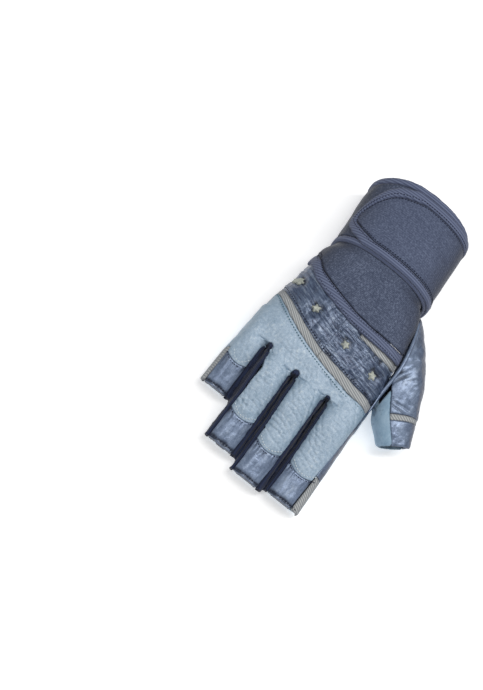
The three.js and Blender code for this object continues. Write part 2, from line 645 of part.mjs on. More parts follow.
// The thumb
const thumbTop = slice(skin, thumbUnder + seam, farOut);
const beyondHand = within(thumbTop, thumbEdge);
const atThumb = without(thumbTop, between(() => farAhead * 2, () => farAhead));
addPiece("thumb_back", within(beyondHand, thumbBackOutline), navyLeather);
addPiece("thumb_band", within(atThumb, thumbBandOutline), beigeElastic);
addPiece("thumb_tip", within(atThumb, thumbTipOutline), navyLeather);
const thumbLow = slice(skin, 0, thumbUnder - seam);
const palmSeamCurve = fromRows(thumbPalmSeam);
const thumbPalmOutline = [
  ...palmSeamCurve,
  new THREE.Vector2(-3 * halfHand, along(0.66)),
  new THREE.Vector2(-3 * halfHand, along(-1)),
  new THREE.Vector2(across(-0.6), along(-1)),
];
addPiece("thumb_gusset", within(thumbLow, thumbGussetOutline, thumbPalmOutline), gussetCloth);
const navyThumb = joined([thumbBackOutline, thumbBandOutline, thumbTipOutline].map((o) => prism(o, seam, thumbUnder - seam)));
const lowGusset = prism(thumbGussetOutline, seam, -farOut, thumbUnder + seam);
const crotchX = across(-1.035);
const thumbInside = [
  new THREE.Vector2(crotchX, along(0.3)),
  new THREE.Vector2(crotchX, along(0.97)),
  new THREE.Vector2(-3 * halfHand, along(0.97)),
  new THREE.Vector2(-3 * halfHand, along(0.3)),
];
const thumbSuedeRegion = joined([
  within(palmHalf, thumbPalmOutline),
  within(skin, thumbInside),
]);
addPiece("thumb_palm", aboveFloor(thumbSuedeRegion.subtract(navyThumb).subtract(lowGusset)), skySuede);

// The palm
const lowerHalf = aboveFloor(palmHalf);
const onPalm = without(lowerHalf, thumbPalmOutline, elastics.pinky, ...gussets);
const gripHoles = gripRows.flatMap(({ finger, holes }) =>
  holes.map((past) => {
    const y = knuckleReach + past * fingerReach;
    return circle(fingerNamed(finger).x(y), y, gripDotRadius);
  }),
);
const raisedSkin = form(gripPadHeight).subtract(hollow(-wall / 2));
const gripPads = gripRows.flatMap(({ finger, pads }) =>
  pads.map((past) => {
    const y = knuckleReach + past * fingerReach;
    return raisedSkin.intersect(belowSeam).intersect(prism(circle(fingerNamed(finger).x(y), y, gripPadRadius)));
  }),
);
const fingerSuede = without(within(onPalm, between(() => farAhead, suedeY)), ...gripHoles);
addPiece("finger_palm", aboveFloor(joined([fingerSuede, ...gripPads])), skySuede);
gripHoles.forEach((outline, i) => addPiece(`grip_dot_${i + 1}`, within(lowerHalf, outline), charcoalCloth));
addPiece("palm_cloth", within(onPalm, between(suedeY, () => -2 * wristReach)), charcoalCloth);

const padSkin = form(gap + padThickness).subtract(hollow(gap, fingerSides, bodySides));
const padHalf = aboveFloor(padSkin.intersect(belowSeam));
const beforeRing = between(() => farAhead, () => -wristReach + wrapWidth + gap);
addPiece("palm_patch", without(padHalf.intersect(prism(smoothLoop(patchOutline, 34))), ...gussets), skySuede);
for (const [name, rows] of Object.entries(heelPadRows))
  addPiece(name, within(padHalf.intersect(prism(smoothLoop(rows, 24))), beforeRing), skySuede);

// The wrap: a cuff panel sewn at the thumb seam, a full turn round the wrist, and a strap that ends in a rounded tab
const onFloor = (p) => p.setZ(Math.max(p.z, 0));
const wrapPoint = (angle, y, offset) => onFloor(bodyPoint(angle, y, offset));
const ringTop = -wristReach + wrapWidth;
const cuffStart = 165;
const cuffEdge = (angle) => {
  if (angle >= 0) return cuffY(bodyPoint(angle, cuffY(across(Math.cos(angle) * 0.85)), 0).x);
  const round = Math.min(angle / (cuffPalmEnd * degrees), 1);
  return mix(cuffY(across(0.8)), ringTop - ringBindingWidth, round ** 0.75);
};
const cuffAngle = (u) => mix(cuffStart, cuffPalmEnd, u) * degrees;
const cuffSteps = 20;
const cuffBinding = wallPatch(cuffSteps, 2, cuffLayer - dig, cuffLayer + wrapThickness, (u, v, offset) => {
  const angle = cuffAngle(u);
  return bodyPoint(angle, mix(cuffEdge(angle), cuffEdge(angle) - bindingWidth + seam, v), offset);
});
const cuffRows = [along(-0.16), along(-0.25), ringTop, -cuffReach];
const cuffPanel = wallPatch(cuffSteps, cuffRows.length, cuffLayer - dig, cuffLayer + wrapThickness, (u, v, offset) => {
  const angle = cuffAngle(u);
  const top = cuffEdge(angle) - bindingWidth - 1.5 * gap;
  const row = Math.round(v * cuffRows.length);
  return bodyPoint(angle, row ? Math.min(cuffRows[row - 1], top - row) : top, offset);
});
const cuffBed = form(cuffLayer);
addPiece("cuff_binding", without(cuffBinding.subtract(cuffBed), thumbEdge), bindingCloth);
addPiece("cuff_panel", without(cuffPanel.subtract(cuffBed), thumbEdge), slateCloth);

const turn = (u) => 2 * Math.PI * u;
function ringPart(from, to, steps) {
  return wallPatch(
    wrapSides,
    steps,
    ringLayer,
    ringLayer + wrapThickness,
    (u, v, offset) => wrapPoint(turn(u), mix(from(turn(u)), to(turn(u)), v), offset),
    true,
  );
}
// The wrap's wrist end is round as seen from above: its sides lie this far short of its middle.
const ringEnd = (angle) => -wristReach - endBulge + Math.cos(angle) ** 2 * (Math.cos(angle) > 0 ? outerEase : innerEase);
const ringSplit = { top: ringTop - ringBindingWidth, end: (angle) => ringEnd(angle) + ringBindingWidth };
addPiece("ring_top_binding", ringPart(() => ringTop, () => ringSplit.top + seam, 1), bindingCloth);
addPiece("wrap_ring", ringPart(() => ringSplit.top - seam, (a) => ringSplit.end(a) + seam, 1), slateCloth);
addPiece("ring_end_binding", ringPart((a) => ringSplit.end(a) - seam, ringEnd, 1), bindingCloth);

const edgeSteps = 12;
const endSteps = 10;

// The strap's width runs from its wrist edge at 0 to its finger edge at 1, and each row has its own end angle.
const strapLow = -wristReach + (wrapWidth - strapWidth) * 0.6;
const strapHigh = strapLow + strapWidth;
const tabEnd = curveThrough(columnOf(tabRows, "across"), columnOf(tabRows, "end", degrees));
const wristRadius = wristWidth / 2 + strapLayer;
const full = 360 * degrees;
function strapPoint(angle, y, offset) {
  return wrapPoint(angle, y, offset);
}
// The tab's edge drawn in by a distance, as an angle at a share of the drawn-in width.
const tabEdge = (share, inset) => -full + tabEnd(share) + inset / wristRadius;
const strapY = (share, inset) => mix(strapLow + inset, strapHigh - inset, share);
const strapAngle = (share) => mix(strapStart, patchEnd, share) * degrees;
const strapOuter = strapLayer + wrapThickness;
const inside = strapBindingWidth + gap;
const tapeAngle = seamTapeWidth / wristRadius;
const patchFrom = strapStart * degrees - tapeAngle - seam / wristRadius;
const seamTape = wallPatch(1, 1, strapLayer - dig, strapOuter, (u, v, offset) =>
  strapPoint(strapStart * degrees - u * tapeAngle, strapY(v, inside), offset),
);
const strapPatch = wallPatch(8, 1, strapLayer - dig, strapOuter, (u, v, offset) =>
  strapPoint(mix(patchFrom - seam / wristRadius, patchEnd * degrees, u), strapY(v, inside), offset),
);
const tabFrom = patchEnd * degrees - gap / wristRadius;
const strapTab = wallPatch(11, endSteps, strapLayer - dig, strapOuter, (u, v, offset) =>
  strapPoint(mix(tabFrom, tabEdge(v, inside), u), strapY(v, inside), offset),
);
const strapBed = loft(
  [-2 * wristReach, -wristReach, ringTop, 0].map((y) =>
    Array.from({ length: wrapSides }, (_, k) => bodyPoint(turn(k / wrapSides), y, strapLayer)),
  ),
);
addPiece("strap_seam_tape", seamTape.subtract(strapBed), bindingCloth);
addPiece("strap_patch", strapPatch.subtract(strapBed), charcoalCloth);
addPiece("strap_tab", strapTab.subtract(strapBed), slateCloth);

// The binding follows the strap's edge: out along the wrist side, round the tab, and back along the finger side.
function strapEdge(inset) {
  const path = [];
  const start = strapStart * degrees;
  const corner = (share) => tabEdge(share, inset);
  for (let i = 0; i < edgeSteps; i++) path.push([mix(start, corner(0), i / edgeSteps), strapY(0, inset)]);
  for (let i = 0; i <= endSteps; i++) path.push([corner(i / endSteps), strapY(i / endSteps, inset)]);
  for (let i = edgeSteps - 1; i >= 0; i--) path.push([mix(start, corner(1), i / edgeSteps), strapY(1, inset)]);
  return path;
}
const edgeOut = strapEdge(0);
const edgeIn = strapEdge(strapBindingWidth);
const edgeCount = edgeOut.length - 1;
const strapBinding = wallPatch(edgeCount, 1, strapLayer - dig, strapOuter, (u, v, offset) => {
  const [angle, y] = (v ? edgeIn : edgeOut)[Math.round(u * edgeCount)];
  return strapPoint(angle, y, offset);
});
addPiece("strap_binding", strapBinding.subtract(strapBed), bindingCloth);

// The origin is under the middle of the glove's own box, on the surface that it lies on.
const box = new THREE.Box3().setFromObject(glove);
const middle = box.getCenter(new THREE.Vector3());
glove.position.set(-middle.x, -middle.y, -box.min.z);

export default glove;
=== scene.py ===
"""The looks of a half-finger weightlifting glove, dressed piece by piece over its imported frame.

The glove lies palm down. X runs across the hand from the thumb, Y along the fingers and Z up. Every sewn piece starts
as a copy of its solid, is remeshed finely, and is then shaped on one smooth hand form with its seams, folds and
padding.
"""

import sys
import logging
import math
from dataclasses import dataclass, field
from enum import Enum
from typing import Callable, Sequence

import bpy
import numpy as np
from mathutils import Matrix, Vector
from mathutils.bvhtree import BVHTree
from mathutils.geometry import convex_hull_2d
from mathutils.kdtree import KDTree


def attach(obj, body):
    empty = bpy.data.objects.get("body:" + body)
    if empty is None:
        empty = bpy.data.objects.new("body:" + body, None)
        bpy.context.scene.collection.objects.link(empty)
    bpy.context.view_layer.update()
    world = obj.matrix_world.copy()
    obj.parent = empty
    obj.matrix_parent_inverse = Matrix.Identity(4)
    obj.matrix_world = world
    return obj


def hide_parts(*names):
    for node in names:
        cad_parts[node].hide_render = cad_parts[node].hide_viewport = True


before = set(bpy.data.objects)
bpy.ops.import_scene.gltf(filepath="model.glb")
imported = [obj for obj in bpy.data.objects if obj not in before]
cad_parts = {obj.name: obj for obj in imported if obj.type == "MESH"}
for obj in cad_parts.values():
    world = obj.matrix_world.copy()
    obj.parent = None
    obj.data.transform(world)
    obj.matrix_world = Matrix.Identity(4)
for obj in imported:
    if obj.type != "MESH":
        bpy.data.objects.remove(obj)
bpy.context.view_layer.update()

logging.basicConfig(level=logging.INFO, format="%(message)s", stream=sys.stdout)
log = logging.getLogger("glove")

Points = np.ndarray
Heights = np.ndarray
Relief = Callable[["Cut"], Heights]
Move = Callable[[Points], Points]
Surface = Callable[[Points], Heights]
Socket = bpy.types.NodeSocket
Model = tuple[Points, list[tuple[int, ...]]]

# Where the hand's own origin lies in the frame, in mm
ORIGIN = np.array((18.159, -23.678, 0.0))
FINGERS = ("index", "middle", "ring", "pinky")
HAND = ("body",) + FINGERS
ALL = HAND + ("thumb",)
# Where each finger's raised grip pads lie, as shares of the middle finger's reach past the knuckles
GRIP_PADS = (("index", (0.82, 0.37)), ("middle", (0.84, 0.38)), ("ring", (0.7, 0.295)), ("pinky", (0.35, -0.075)))

# The sizes that the hand form is made from, in mm, as in the part's source
HAND_WIDTH = 102.0
WRIST_HALF = 33.3
BACK_HEIGHT = 50.0
FLOOR_LIFT = 5.7
WRIST_REACH = 88
KNUCKLE_REACH = 67
FINGER_REACH = 68
TIP_HEIGHT = 13.6
TIP_SLANT = 0.2
# The share of the body's height at which it is widest, and how square its sections are above and below
WIDEST = 0.42
ROUND_ABOVE = 2.3
ROUND_BELOW = 2.6
SQUARE_BELOW = 3.2

# How nearly a point's normal has to agree with the form for it to be on the outer or the inner face
FACED = 0.55
# How nearly it has to be upright to be outer where the solid stands off the form
UPRIGHT = 0.75
# The height in mm below which an upright point belongs to the palm
UNDERSIDE = 15
# How far past its middle a face may lie and still count as outer or inner, and the distance of a rimless point
SLACK = 0.4
FAR = 50.0
# How wide the outer cloth is turned in along a cut edge, and how wide a sunk seam's slope is, in mm
HEM = 2.0
SEAM_SLOPE = 4.5
# How deep a rolled edge drops for its width, and how far one round of shaping may move a point in mm
ROLL_DROP = 0.8
ROUND_STEP = 1.2
# How fast the painted shade in the leather's folds deepens with the depth of a fold in mm
FOLD_SHADE = 1.6
# The strap's lower edge and width, where it starts round the wrist, and the radius that it runs at, in mm
STRAP_LOW = -85.6
STRAP_WIDTH = 56.0
STRAP_START = math.radians(-70)
STRAP_RADIUS = 37.8
# The upper edge of the wound ring, and where the thumb's puckers start
RING_TOP = -28.0
THUMB_ROOT = (-44.0, 40.0)
# The wave texture's scale that gives ribs one millimetre apart
WAVE_SCALE = 314.0
# The radius of the stitched ring round a grip pad, in mm
PAD_RING = 4.9


def ease(x: Points, low: float, high: float) -> Points:
    """Return 0 below low, 1 above high and a soft step between."""
    t = np.clip((x - low) / (high - low), 0.0, 1.0)
    return t * t * (3 - 2 * t)


def held(start: Points, end: Points, most: float) -> Points:
    """Return the ends, each no further from its start than most."""
    way = end - start
    size = np.linalg.norm(way, axis=1, keepdims=True)
    return start + way * np.minimum(1.0, most / np.maximum(size, 1e-9))


def along_hand(share: Points) -> Points:
    """Return y from shares of the reach to the knuckles, or to the wrist's end where they are below 0."""
    return share * np.where(share < 0, WRIST_REACH, KNUCKLE_REACH)


def hump(x: Points, width: float, power: int = 2) -> Points:
    """Return 1 at x = 0 and less away from it, over a width."""
    return np.exp(-((x / width) ** power))


def unit(ways: Points) -> Points:
    """Return each direction with a length of 1."""
    return ways / np.maximum(np.linalg.norm(ways, axis=1), 1e-6)[:, None]


def mat3(x: Points, y: Points, z: Points | float = 0.0) -> Points:
    """Return three columns as points."""
    return np.stack((x, y, np.broadcast_to(z, x.shape)), 1)


def rise(surface: Surface, p: Points, base: Heights, step: float) -> Points:
    """Return how much a surface's offset grows from its base over a step along each axis."""
    return np.stack([surface(p + way) - base for way in np.eye(3) * step], 1)


def run_of(line: Points) -> Points:
    """Return how far along a line each of its points lies."""
    return np.concatenate(([0], np.cumsum(np.linalg.norm(np.diff(line, axis=0), axis=1))))


def between(line: Points, run: Points, at: Points) -> Points:
    """Return a line's points at other places along its run."""
    return np.stack([np.interp(at, run, column) for column in line.T], 1)


def settled(xy: Points, z: float, step: float, rounds: int, offset: Surface) -> Points:
    """Return flat places raised or lowered until they meet a surface.

    Args:
        xy: Flat places in mm.
        z: The height to start from.
        step: 1 to go up, -1 to go down.
        rounds: How many times to step.
        offset: The surface's offset at a point.

    Returns:
        The points on the surface.
    """
    height = np.full(len(xy), z)
    for _ in range(rounds):
        height = height + step * np.clip(offset(mat3(xy[:, 0], xy[:, 1], height)) * 0.85, -0.5, 4)
    return mat3(xy[:, 0], xy[:, 1], height)


def edit(piece: bpy.types.Object, tool: Callable[..., object], **options: object) -> None:
    """Use one mesh tool on the whole of a piece.

    Args:
        piece: The piece, which becomes the only one selected.
        tool: The mesh operator.
        options: What the operator is given.
    """
    bpy.ops.object.select_all(action="DESELECT")
    piece.select_set(True)
    bpy.context.view_layer.objects.active = piece
    bpy.ops.object.mode_set(mode="EDIT")
    bpy.ops.mesh.select_all(action="SELECT")
    tool(**options)
    bpy.ops.object.mode_set(mode="OBJECT")


class Curve:
    """A smooth curve through points that never overshoots them."""

    def __init__(self, xs: Sequence[float], ys: Sequence[float]) -> None:
        """Work out the slope at each point.

        Args:
            xs: Rising places.
            ys: The value at each place.
        """
        self.xs = np.array(xs, float)
        self.ys = np.array(ys, float)
        slope = np.diff(self.ys) / np.diff(self.xs)
        tangent = np.zeros_like(self.ys)
        tangent[0], tangent[-1] = slope[0], slope[-1]
        before, after = slope[:-1], slope[1:]
        same = before * after > 0
        total = np.where(same, before + after, 1.0)
        tangent[1:-1] = np.where(same, 2 * before * after / total, 0.0)
        self.tangent = tangent

    def __call__(self, x: Points) -> Points:
        """Return the curve's value at each x."""
        x = np.clip(x, self.xs[0], self.xs[-1])
        i = np.clip(np.searchsorted(self.xs, x, side="right") - 1, 0, len(self.xs) - 2)
        h = self.xs[i + 1] - self.xs[i]
        t = (x - self.xs[i]) / h
        a, b = self.ys[i], self.ys[i + 1]
        lead = t * (1 - t) ** 2 * self.tangent[i] - t * t * (1 - t) * self.tangent[i + 1]
        return a + (b - a) * t * t * (3 - 2 * t) + h * lead


class Cloud:
    """Smooth random heights from 0 to 1, the same on every run."""

    def __init__(self, seed: int) -> None:
        """Fill the table of heights from a seed."""
        self.table = np.random.default_rng(seed).random(4096)

    def at(self, p: Points) -> Heights:
        """Return the height at each point, where features are about one unit apart."""
        low = np.floor(p).astype(np.int64)
        t = p - low
        t = t * t * (3 - 2 * t)
        total = np.zeros(len(p))
        for corner in range(8):
            step = np.array((corner & 1, corner >> 1 & 1, corner >> 2 & 1))
            cell = (low + step) * np.array((73856093, 19349663, 83492791))
            key = (cell[:, 0] ^ cell[:, 1] ^ cell[:, 2]) & 4095
            share = np.prod(np.where(step, t, 1 - t), axis=1)
            total += share * self.table[key]
        return total

    def soft(self, p: Points, octaves: int = 3) -> Heights:
        """Return cloudy heights with finer ones added, about 0 in the middle."""
        total = np.zeros(len(p))
        for k in range(octaves):
            total += (self.at(p * 2.0**k + 17.3 * k) - 0.5) * 0.5**k
        return total

    def folds(self, along: Heights, across: Heights, pitch: float, wander: float, sharp: float,
              seed: float) -> Heights:
        """Return creases of depth 1 that lie side by side, wander and break off.

        Args:
            along: Each point's place over the creases, from one to the next, in mm.
            across: Its place along a crease, in mm.
            pitch: The distance from one crease to the next.
            wander: How far a crease strays, in pitches.
            sharp: How narrow the creases are.
            seed: A number that gives each set its own look.

        Returns:
            The depth at each point, from 0 to 1.
        """
        place = np.stack((across / (pitch * 4), along / (pitch * 2.5), np.full(len(along), seed)), 1)
        phase = along / pitch + wander * self.soft(place, 2)
        line = (0.5 + 0.5 * np.cos(2 * math.pi * phase)) ** sharp
        return line * ease(self.at(place * (1.3, 1.7, 1) + 5.1), 0.3, 0.6)


CLOUD = Cloud(7)


@dataclass(frozen=True)
class Finger:
    """One finger's tube, in mm."""

    start: float
    knuckle: float
    tip: float
    x: Curve
    half: Curve
    low: Curve
    high: Curve
    tongue: float

    @staticmethod
    def made(reach: float, start: float, knuckle: float, root: float, tip: float, half: float, fit: float,
             crown: float, tongue: float) -> "Finger":
        """Make a finger from its row of shares, as in the part's source.

        Args:
            reach: Its length past the knuckle, as a share of the middle one's.
            start: Where its tube begins, as a share of the reach to the knuckles.
            knuckle: Where its knuckle lies, as the same share.
            root: Its centre at the knuckle, as a share of the hand's width.
            tip: Its centre at the tip, as the same share.
            half: Its half width, as the same share.
            fit: The share of that width at the knuckle.
            crown: The knuckle's height, as a share of the back's.
            tongue: Where the back leather's tongue ends, from knuckle to tip.

        Returns:
            The finger.
        """
        y1, y0 = knuckle * KNUCKLE_REACH, start * KNUCKLE_REACH
        y3 = y1 + reach * FINGER_REACH
        y2 = y1 + 0.48 * (y3 - y1)
        ys = (y0, y1, y2, y3)
        wide = half * HAND_WIDTH - 0.25
        top = crown * BACK_HEIGHT
        return Finger(
            y0, y1, y3, Curve(ys, [k * HAND_WIDTH for k in (root, root, (root + tip) / 2, tip)]),
            Curve(ys, [wide * k for k in (0.75, fit, 1, 1.01)]),
            Curve(ys, [FLOOR_LIFT * k for k in (1.05, 0.77, 0.39, 0.07)]),
            Curve(ys, (top * 0.985, top, top + 0.52 * (TIP_HEIGHT - top), TIP_HEIGHT)), y1 + tongue * (y3 - y1),
        )


class Form:
    """The smooth hand form that every sewn piece lies on, in mm about the hand's own origin."""

    def __init__(self) -> None:
        """Work out the body's, the fingers' and the thumb's curves from their rows."""
        rows = np.array((
            (-1.08, -0.01, 0.046, 1.0, 0.94), (-0.8, 0.03, 0.03, 1.0, 0.965), (-0.51, 0.01, 0.01, 1.0, 0.97),
            (-0.32, 0.04, 0.0, 0.9, 0.98), (-0.23, 0.29, -0.005, 0.7, 1.0), (-0.09, 0.49, -0.015, 0.55, 1.0),
            (0.15, 0.69, -0.02, 0.45, 0.96), (0.45, 0.86, -0.012, 0.45, 0.91), (0.78, 0.94, -0.01, 0.55, 0.84),
            (1.07, 1.0, -0.01, 0.7, 0.75),
        ))
        at = along_hand(rows[:, 0])
        self.half = Curve(at, WRIST_HALF + rows[:, 1] * (HAND_WIDTH / 2 - WRIST_HALF))
        self.lean = Curve(at, rows[:, 2] * HAND_WIDTH)
        self.low = Curve(at, rows[:, 3] * FLOOR_LIFT)
        self.high = Curve(at, rows[:, 4] * BACK_HEIGHT)
        self.fingers = {
            row[0]: Finger.made(*row[1:])
            for row in (
                ("index", 1, 0.627, 0.985, -0.366, -0.404, 0.14, 1, 0.73, 0.715),
                ("middle", 1.015, 0.627, 1.015, -0.092, -0.133, 0.132, 1, 0.776, 0.697),
                ("ring", 0.929, 0.597, 0.985, 0.168, 0.13, 0.13, 1, 0.752, 0.69),
                ("pinky", 0.618, 0.507, 0.866, 0.388, 0.386, 0.12, 0.84, 0.65, 0.55),
            )
        }
        crotch = np.array(((-2, 0.985), (-0.5, 0.985), (0.1, 1.012), (0.42, 1.01), (0.62, 0.9), (2, 0.86)))
        self.crotch = (crotch[:, 0] * HAND_WIDTH / 2, crotch[:, 1] * KNUCKLE_REACH)
        thumb = np.array((
            (-0.275, -0.255, 0.52, 0.06, 0.16), (-0.384, -0.078, 0.46, 0.122, 0.235),
            (-0.549, 0.167, 0.4, 0.142, 0.32), (-0.64, 0.374, 0.33, 0.152, 0.27), (-0.77, 0.559, 0.264, 0.111, 0.212),
        ))
        self.thumb_line = self._line(thumb[:, :3] * (HAND_WIDTH, HAND_WIDTH, BACK_HEIGHT))
        self.shares = np.linspace(0, 1, len(self.thumb_line))
        knots = np.linspace(0, 1, len(thumb))
        self.thumb_half = Curve(knots, thumb[:, 3] * HAND_WIDTH)(self.shares)
        self.thumb_rise = Curve(knots, thumb[:, 4] * BACK_HEIGHT)(self.shares)
        run = np.gradient(self.thumb_line, self.shares, axis=0)
        run[:, 2] = 0
        self.thumb_speed = np.linalg.norm(run, axis=1)
        self.thumb_ahead = run / self.thumb_speed[:, None]

    @staticmethod
    def _line(points: Points, count: int = 161) -> Points:
        """Return a centripetal curve through the points.

        Args:
            points: The points it passes, in order.
            count: How many points to return.

        Returns:
            Points along the curve, evenly spaced in its own measure.
        """
        ends = np.vstack((2 * points[0] - points[1], points, 2 * points[-1] - points[-2]))
        out = []
        for s in np.linspace(0, len(points) - 1, count):
            i = min(int(s), len(points) - 2)
            t = s - i
            p = ends[i:i + 4]
            d = np.linalg.norm(np.diff(p, axis=0), axis=1) ** 0.5
            m1 = ((p[1] - p[0]) / d[0] - (p[2] - p[0]) / (d[0] + d[1]) + (p[2] - p[1]) / d[1]) * d[1]
            m2 = ((p[2] - p[1]) / d[1] - (p[3] - p[1]) / (d[1] + d[2]) + (p[3] - p[2]) / d[2]) * d[1]
            c2 = 3 * (p[2] - p[1]) - 2 * m1 - m2
            c3 = 2 * (p[1] - p[2]) + m1 + m2
            out.append(p[1] + t * (m1 + t * (c2 + t * c3)))
        return np.array(out)

    @staticmethod
    def _outside(dx: Points, dz: Points, half: Points, tall: Points, power: Points) -> Heights:
        """Return how far a point lies outside a rounded section, measured as the section's offset."""
        dx, dz = np.abs(dx) + 1e-6, np.abs(dz) + 1e-6
        rho = ((dx / half) ** power + (dz / tall) ** power) ** (1 / power)
        d = np.hypot(dx, dz) * (1 - 1 / np.maximum(rho, 1e-3))
        d = np.maximum(d, -0.6 * np.minimum(half, tall))
        for _ in range(4):
            a, b = half + d, tall + d
            qa, qb = (dx / a) ** power, (dz / b) ** power
            slope = -power * (qa / a + qb / b)
            d = d - np.clip((qa + qb - 1) / np.minimum(slope, -1e-6), -2, 2)
            d = np.maximum(d, -0.8 * np.minimum(half, tall))
        return d

    def section(self, y: Points) -> tuple[Points, Points, Points]:
        """Return the heights of the body's underside, its widest line and its back."""
        low, high = self.low(y), self.high(y)
        return low, low + WIDEST * (high - low), high

    def body(self, p: Points) -> Heights:
        """Return the offset from the hand's body and wrist."""
        x, y, z = p.T
        low, mid, high = self.section(y)
        up = z > mid
        return self._outside(x - self.lean(y), z - mid, self.half(y), np.where(up, high - mid, mid - low),
                             np.where(up, ROUND_ABOVE, SQUARE_BELOW))

    def finger(self, name: str, p: Points) -> Heights:
        """Return the offset from one finger's tube."""
        f = self.fingers[name]
        x, y, z = p.T
        y = y - TIP_SLANT * (z - TIP_HEIGHT / 2)
        low, high = f.low(y), f.high(y)
        mid = (low + high) / 2
        power = np.where(z > mid, ROUND_ABOVE, ROUND_BELOW)
        d = self._outside(x - f.x(y), z - mid, f.half(y), (high - low) / 2, power)
        return np.maximum(d, f.start - y)

    def thumb_at(self, p: Points) -> tuple[Points, Points, Points]:
        """Return each point's share of the thumb's line, its way across it and its height over it."""
        near = np.argmin(((p[:, None, :2] - self.thumb_line[None, ::4, :2]) ** 2).sum(2), axis=1) * 4
        past = ((p - self.thumb_line[near]) * self.thumb_ahead[near]).sum(1) / self.thumb_speed[near]
        s = np.clip(self.shares[near] + past, 0, 1)
        ahead = between(self.thumb_ahead, self.shares, s)
        off = p - between(self.thumb_line, self.shares, s)
        return s, off[:, 0] * ahead[:, 1] - off[:, 1] * ahead[:, 0], off[:, 2]

    def thumb(self, p: Points) -> Heights:
        """Return the offset from the thumb's tube."""
        s, across, up = self.thumb_at(p)
        half, tall = np.interp(s, self.shares, self.thumb_half), np.interp(s, self.shares, self.thumb_rise)
        return self._outside(across, up, half, tall, np.full(len(p), ROUND_ABOVE))

    def skin(self, p: Points, members: Sequence[str] = ALL, blend: float = 3.0) -> Heights:
        """Return the offset from the glove's skin, with soft valleys where its tubes meet.

        Args:
            p: Points in mm.
            members: Which of the body, fingers and thumb are near.
            blend: How wide the valleys are rounded.

        Returns:
            The offset at each point.
        """
        total = np.full(len(p), 99.0)
        for name in members:
            if name == "body":
                end = np.interp(p[:, 0], *self.crotch)
                sunk = 2.0 * ease(p[:, 1] - end, -16, -2) * ease(p[:, 2], 12, 24)
                d = np.maximum(self.body(p) + sunk, p[:, 1] - end)
            elif name == "thumb":
                d = self.thumb(p)
            else:
                d = self.finger(name, p)
            h = np.maximum(blend - np.abs(total - d), 0) / blend
            total = np.minimum(total, d) - h * h * blend / 4
        return total

    def wrap_point(self, angle: Points, y: Points, offset: float) -> Points:
        """Return points round the wrist at an angle from the little finger's side.

        Args:
            angle: Angles in radians, up from the +X side.
            y: Places along the hand.
            offset: The layer's height over the form.

        Returns:
            The points, no lower than the surface that the glove lies on.
        """
        c, s = np.cos(angle), np.sin(angle)
        low, mid, high = self.section(y)
        power = 2 / np.where(s >= 0, ROUND_ABOVE, SQUARE_BELOW)
        tall = np.where(s >= 0, high - mid, mid - low)
        x = self.lean(y) + np.sign(c) * np.abs(c) ** power * (self.half(y) + offset)
        z = mid + np.sign(s) * np.abs(s) ** power * (tall + offset)
        return np.stack((x, y, np.maximum(z, 0)), 1)


FORM = Form()


class Seams:
    """The seams across the back of the hand, as y in mm at each x."""

    across = np.array((-1.16, -1, -0.6, -0.2, 0, 0.2, 0.4, 0.6, 0.8, 0.95, 1.16)) * HAND_WIDTH / 2

    @classmethod
    def curve(cls, shares: Sequence[float]) -> Move:
        """Return a seam's y as a function of x, from its shares along the hand."""
        line = Curve(cls.across, shares)
        return lambda x: along_hand(line(x))


LEATHER_SEAM = Seams.curve((0.81, 0.82, 0.83, 0.79, 0.755, 0.71, 0.65, 0.57, 0.46, 0.34, 0.2))
BAND_SEAM = Seams.curve((0.71, 0.72, 0.724, 0.69, 0.668, 0.617, 0.55, 0.47, 0.37, 0.27, 0.16))
REAR_SEAM = Seams.curve((0.3, 0.31, 0.346, 0.315, 0.28, 0.24, 0.19, 0.12, 0.0, -0.06, -0.12))
CUFF_SEAM = Seams.curve((0.22, 0.235, 0.285, 0.3, 0.275, 0.235, 0.185, 0.115, -0.1, -0.3, -0.4))
SUEDE_SEAM = Seams.curve((0.66, 0.66, 0.64, 0.62, 0.61, 0.6, 0.6, 0.595, 0.6, 0.61, 0.61))

# The painted shade colour that knit cloth takes on where it turns away from the eye
SHADED_CLOTH = "1e2436"


def linear(colour: str) -> tuple[float, float, float, float]:
    """Return a screen colour such as 7f93b0 as linear light."""
    parts = [int(colour[i:i + 2], 16) / 255 for i in (0, 2, 4)]
    light = [c / 12.92 if c <= 0.04045 else ((c + 0.055) / 1.055) ** 2.4 for c in parts]
    return (light[0], light[1], light[2], 1.0)


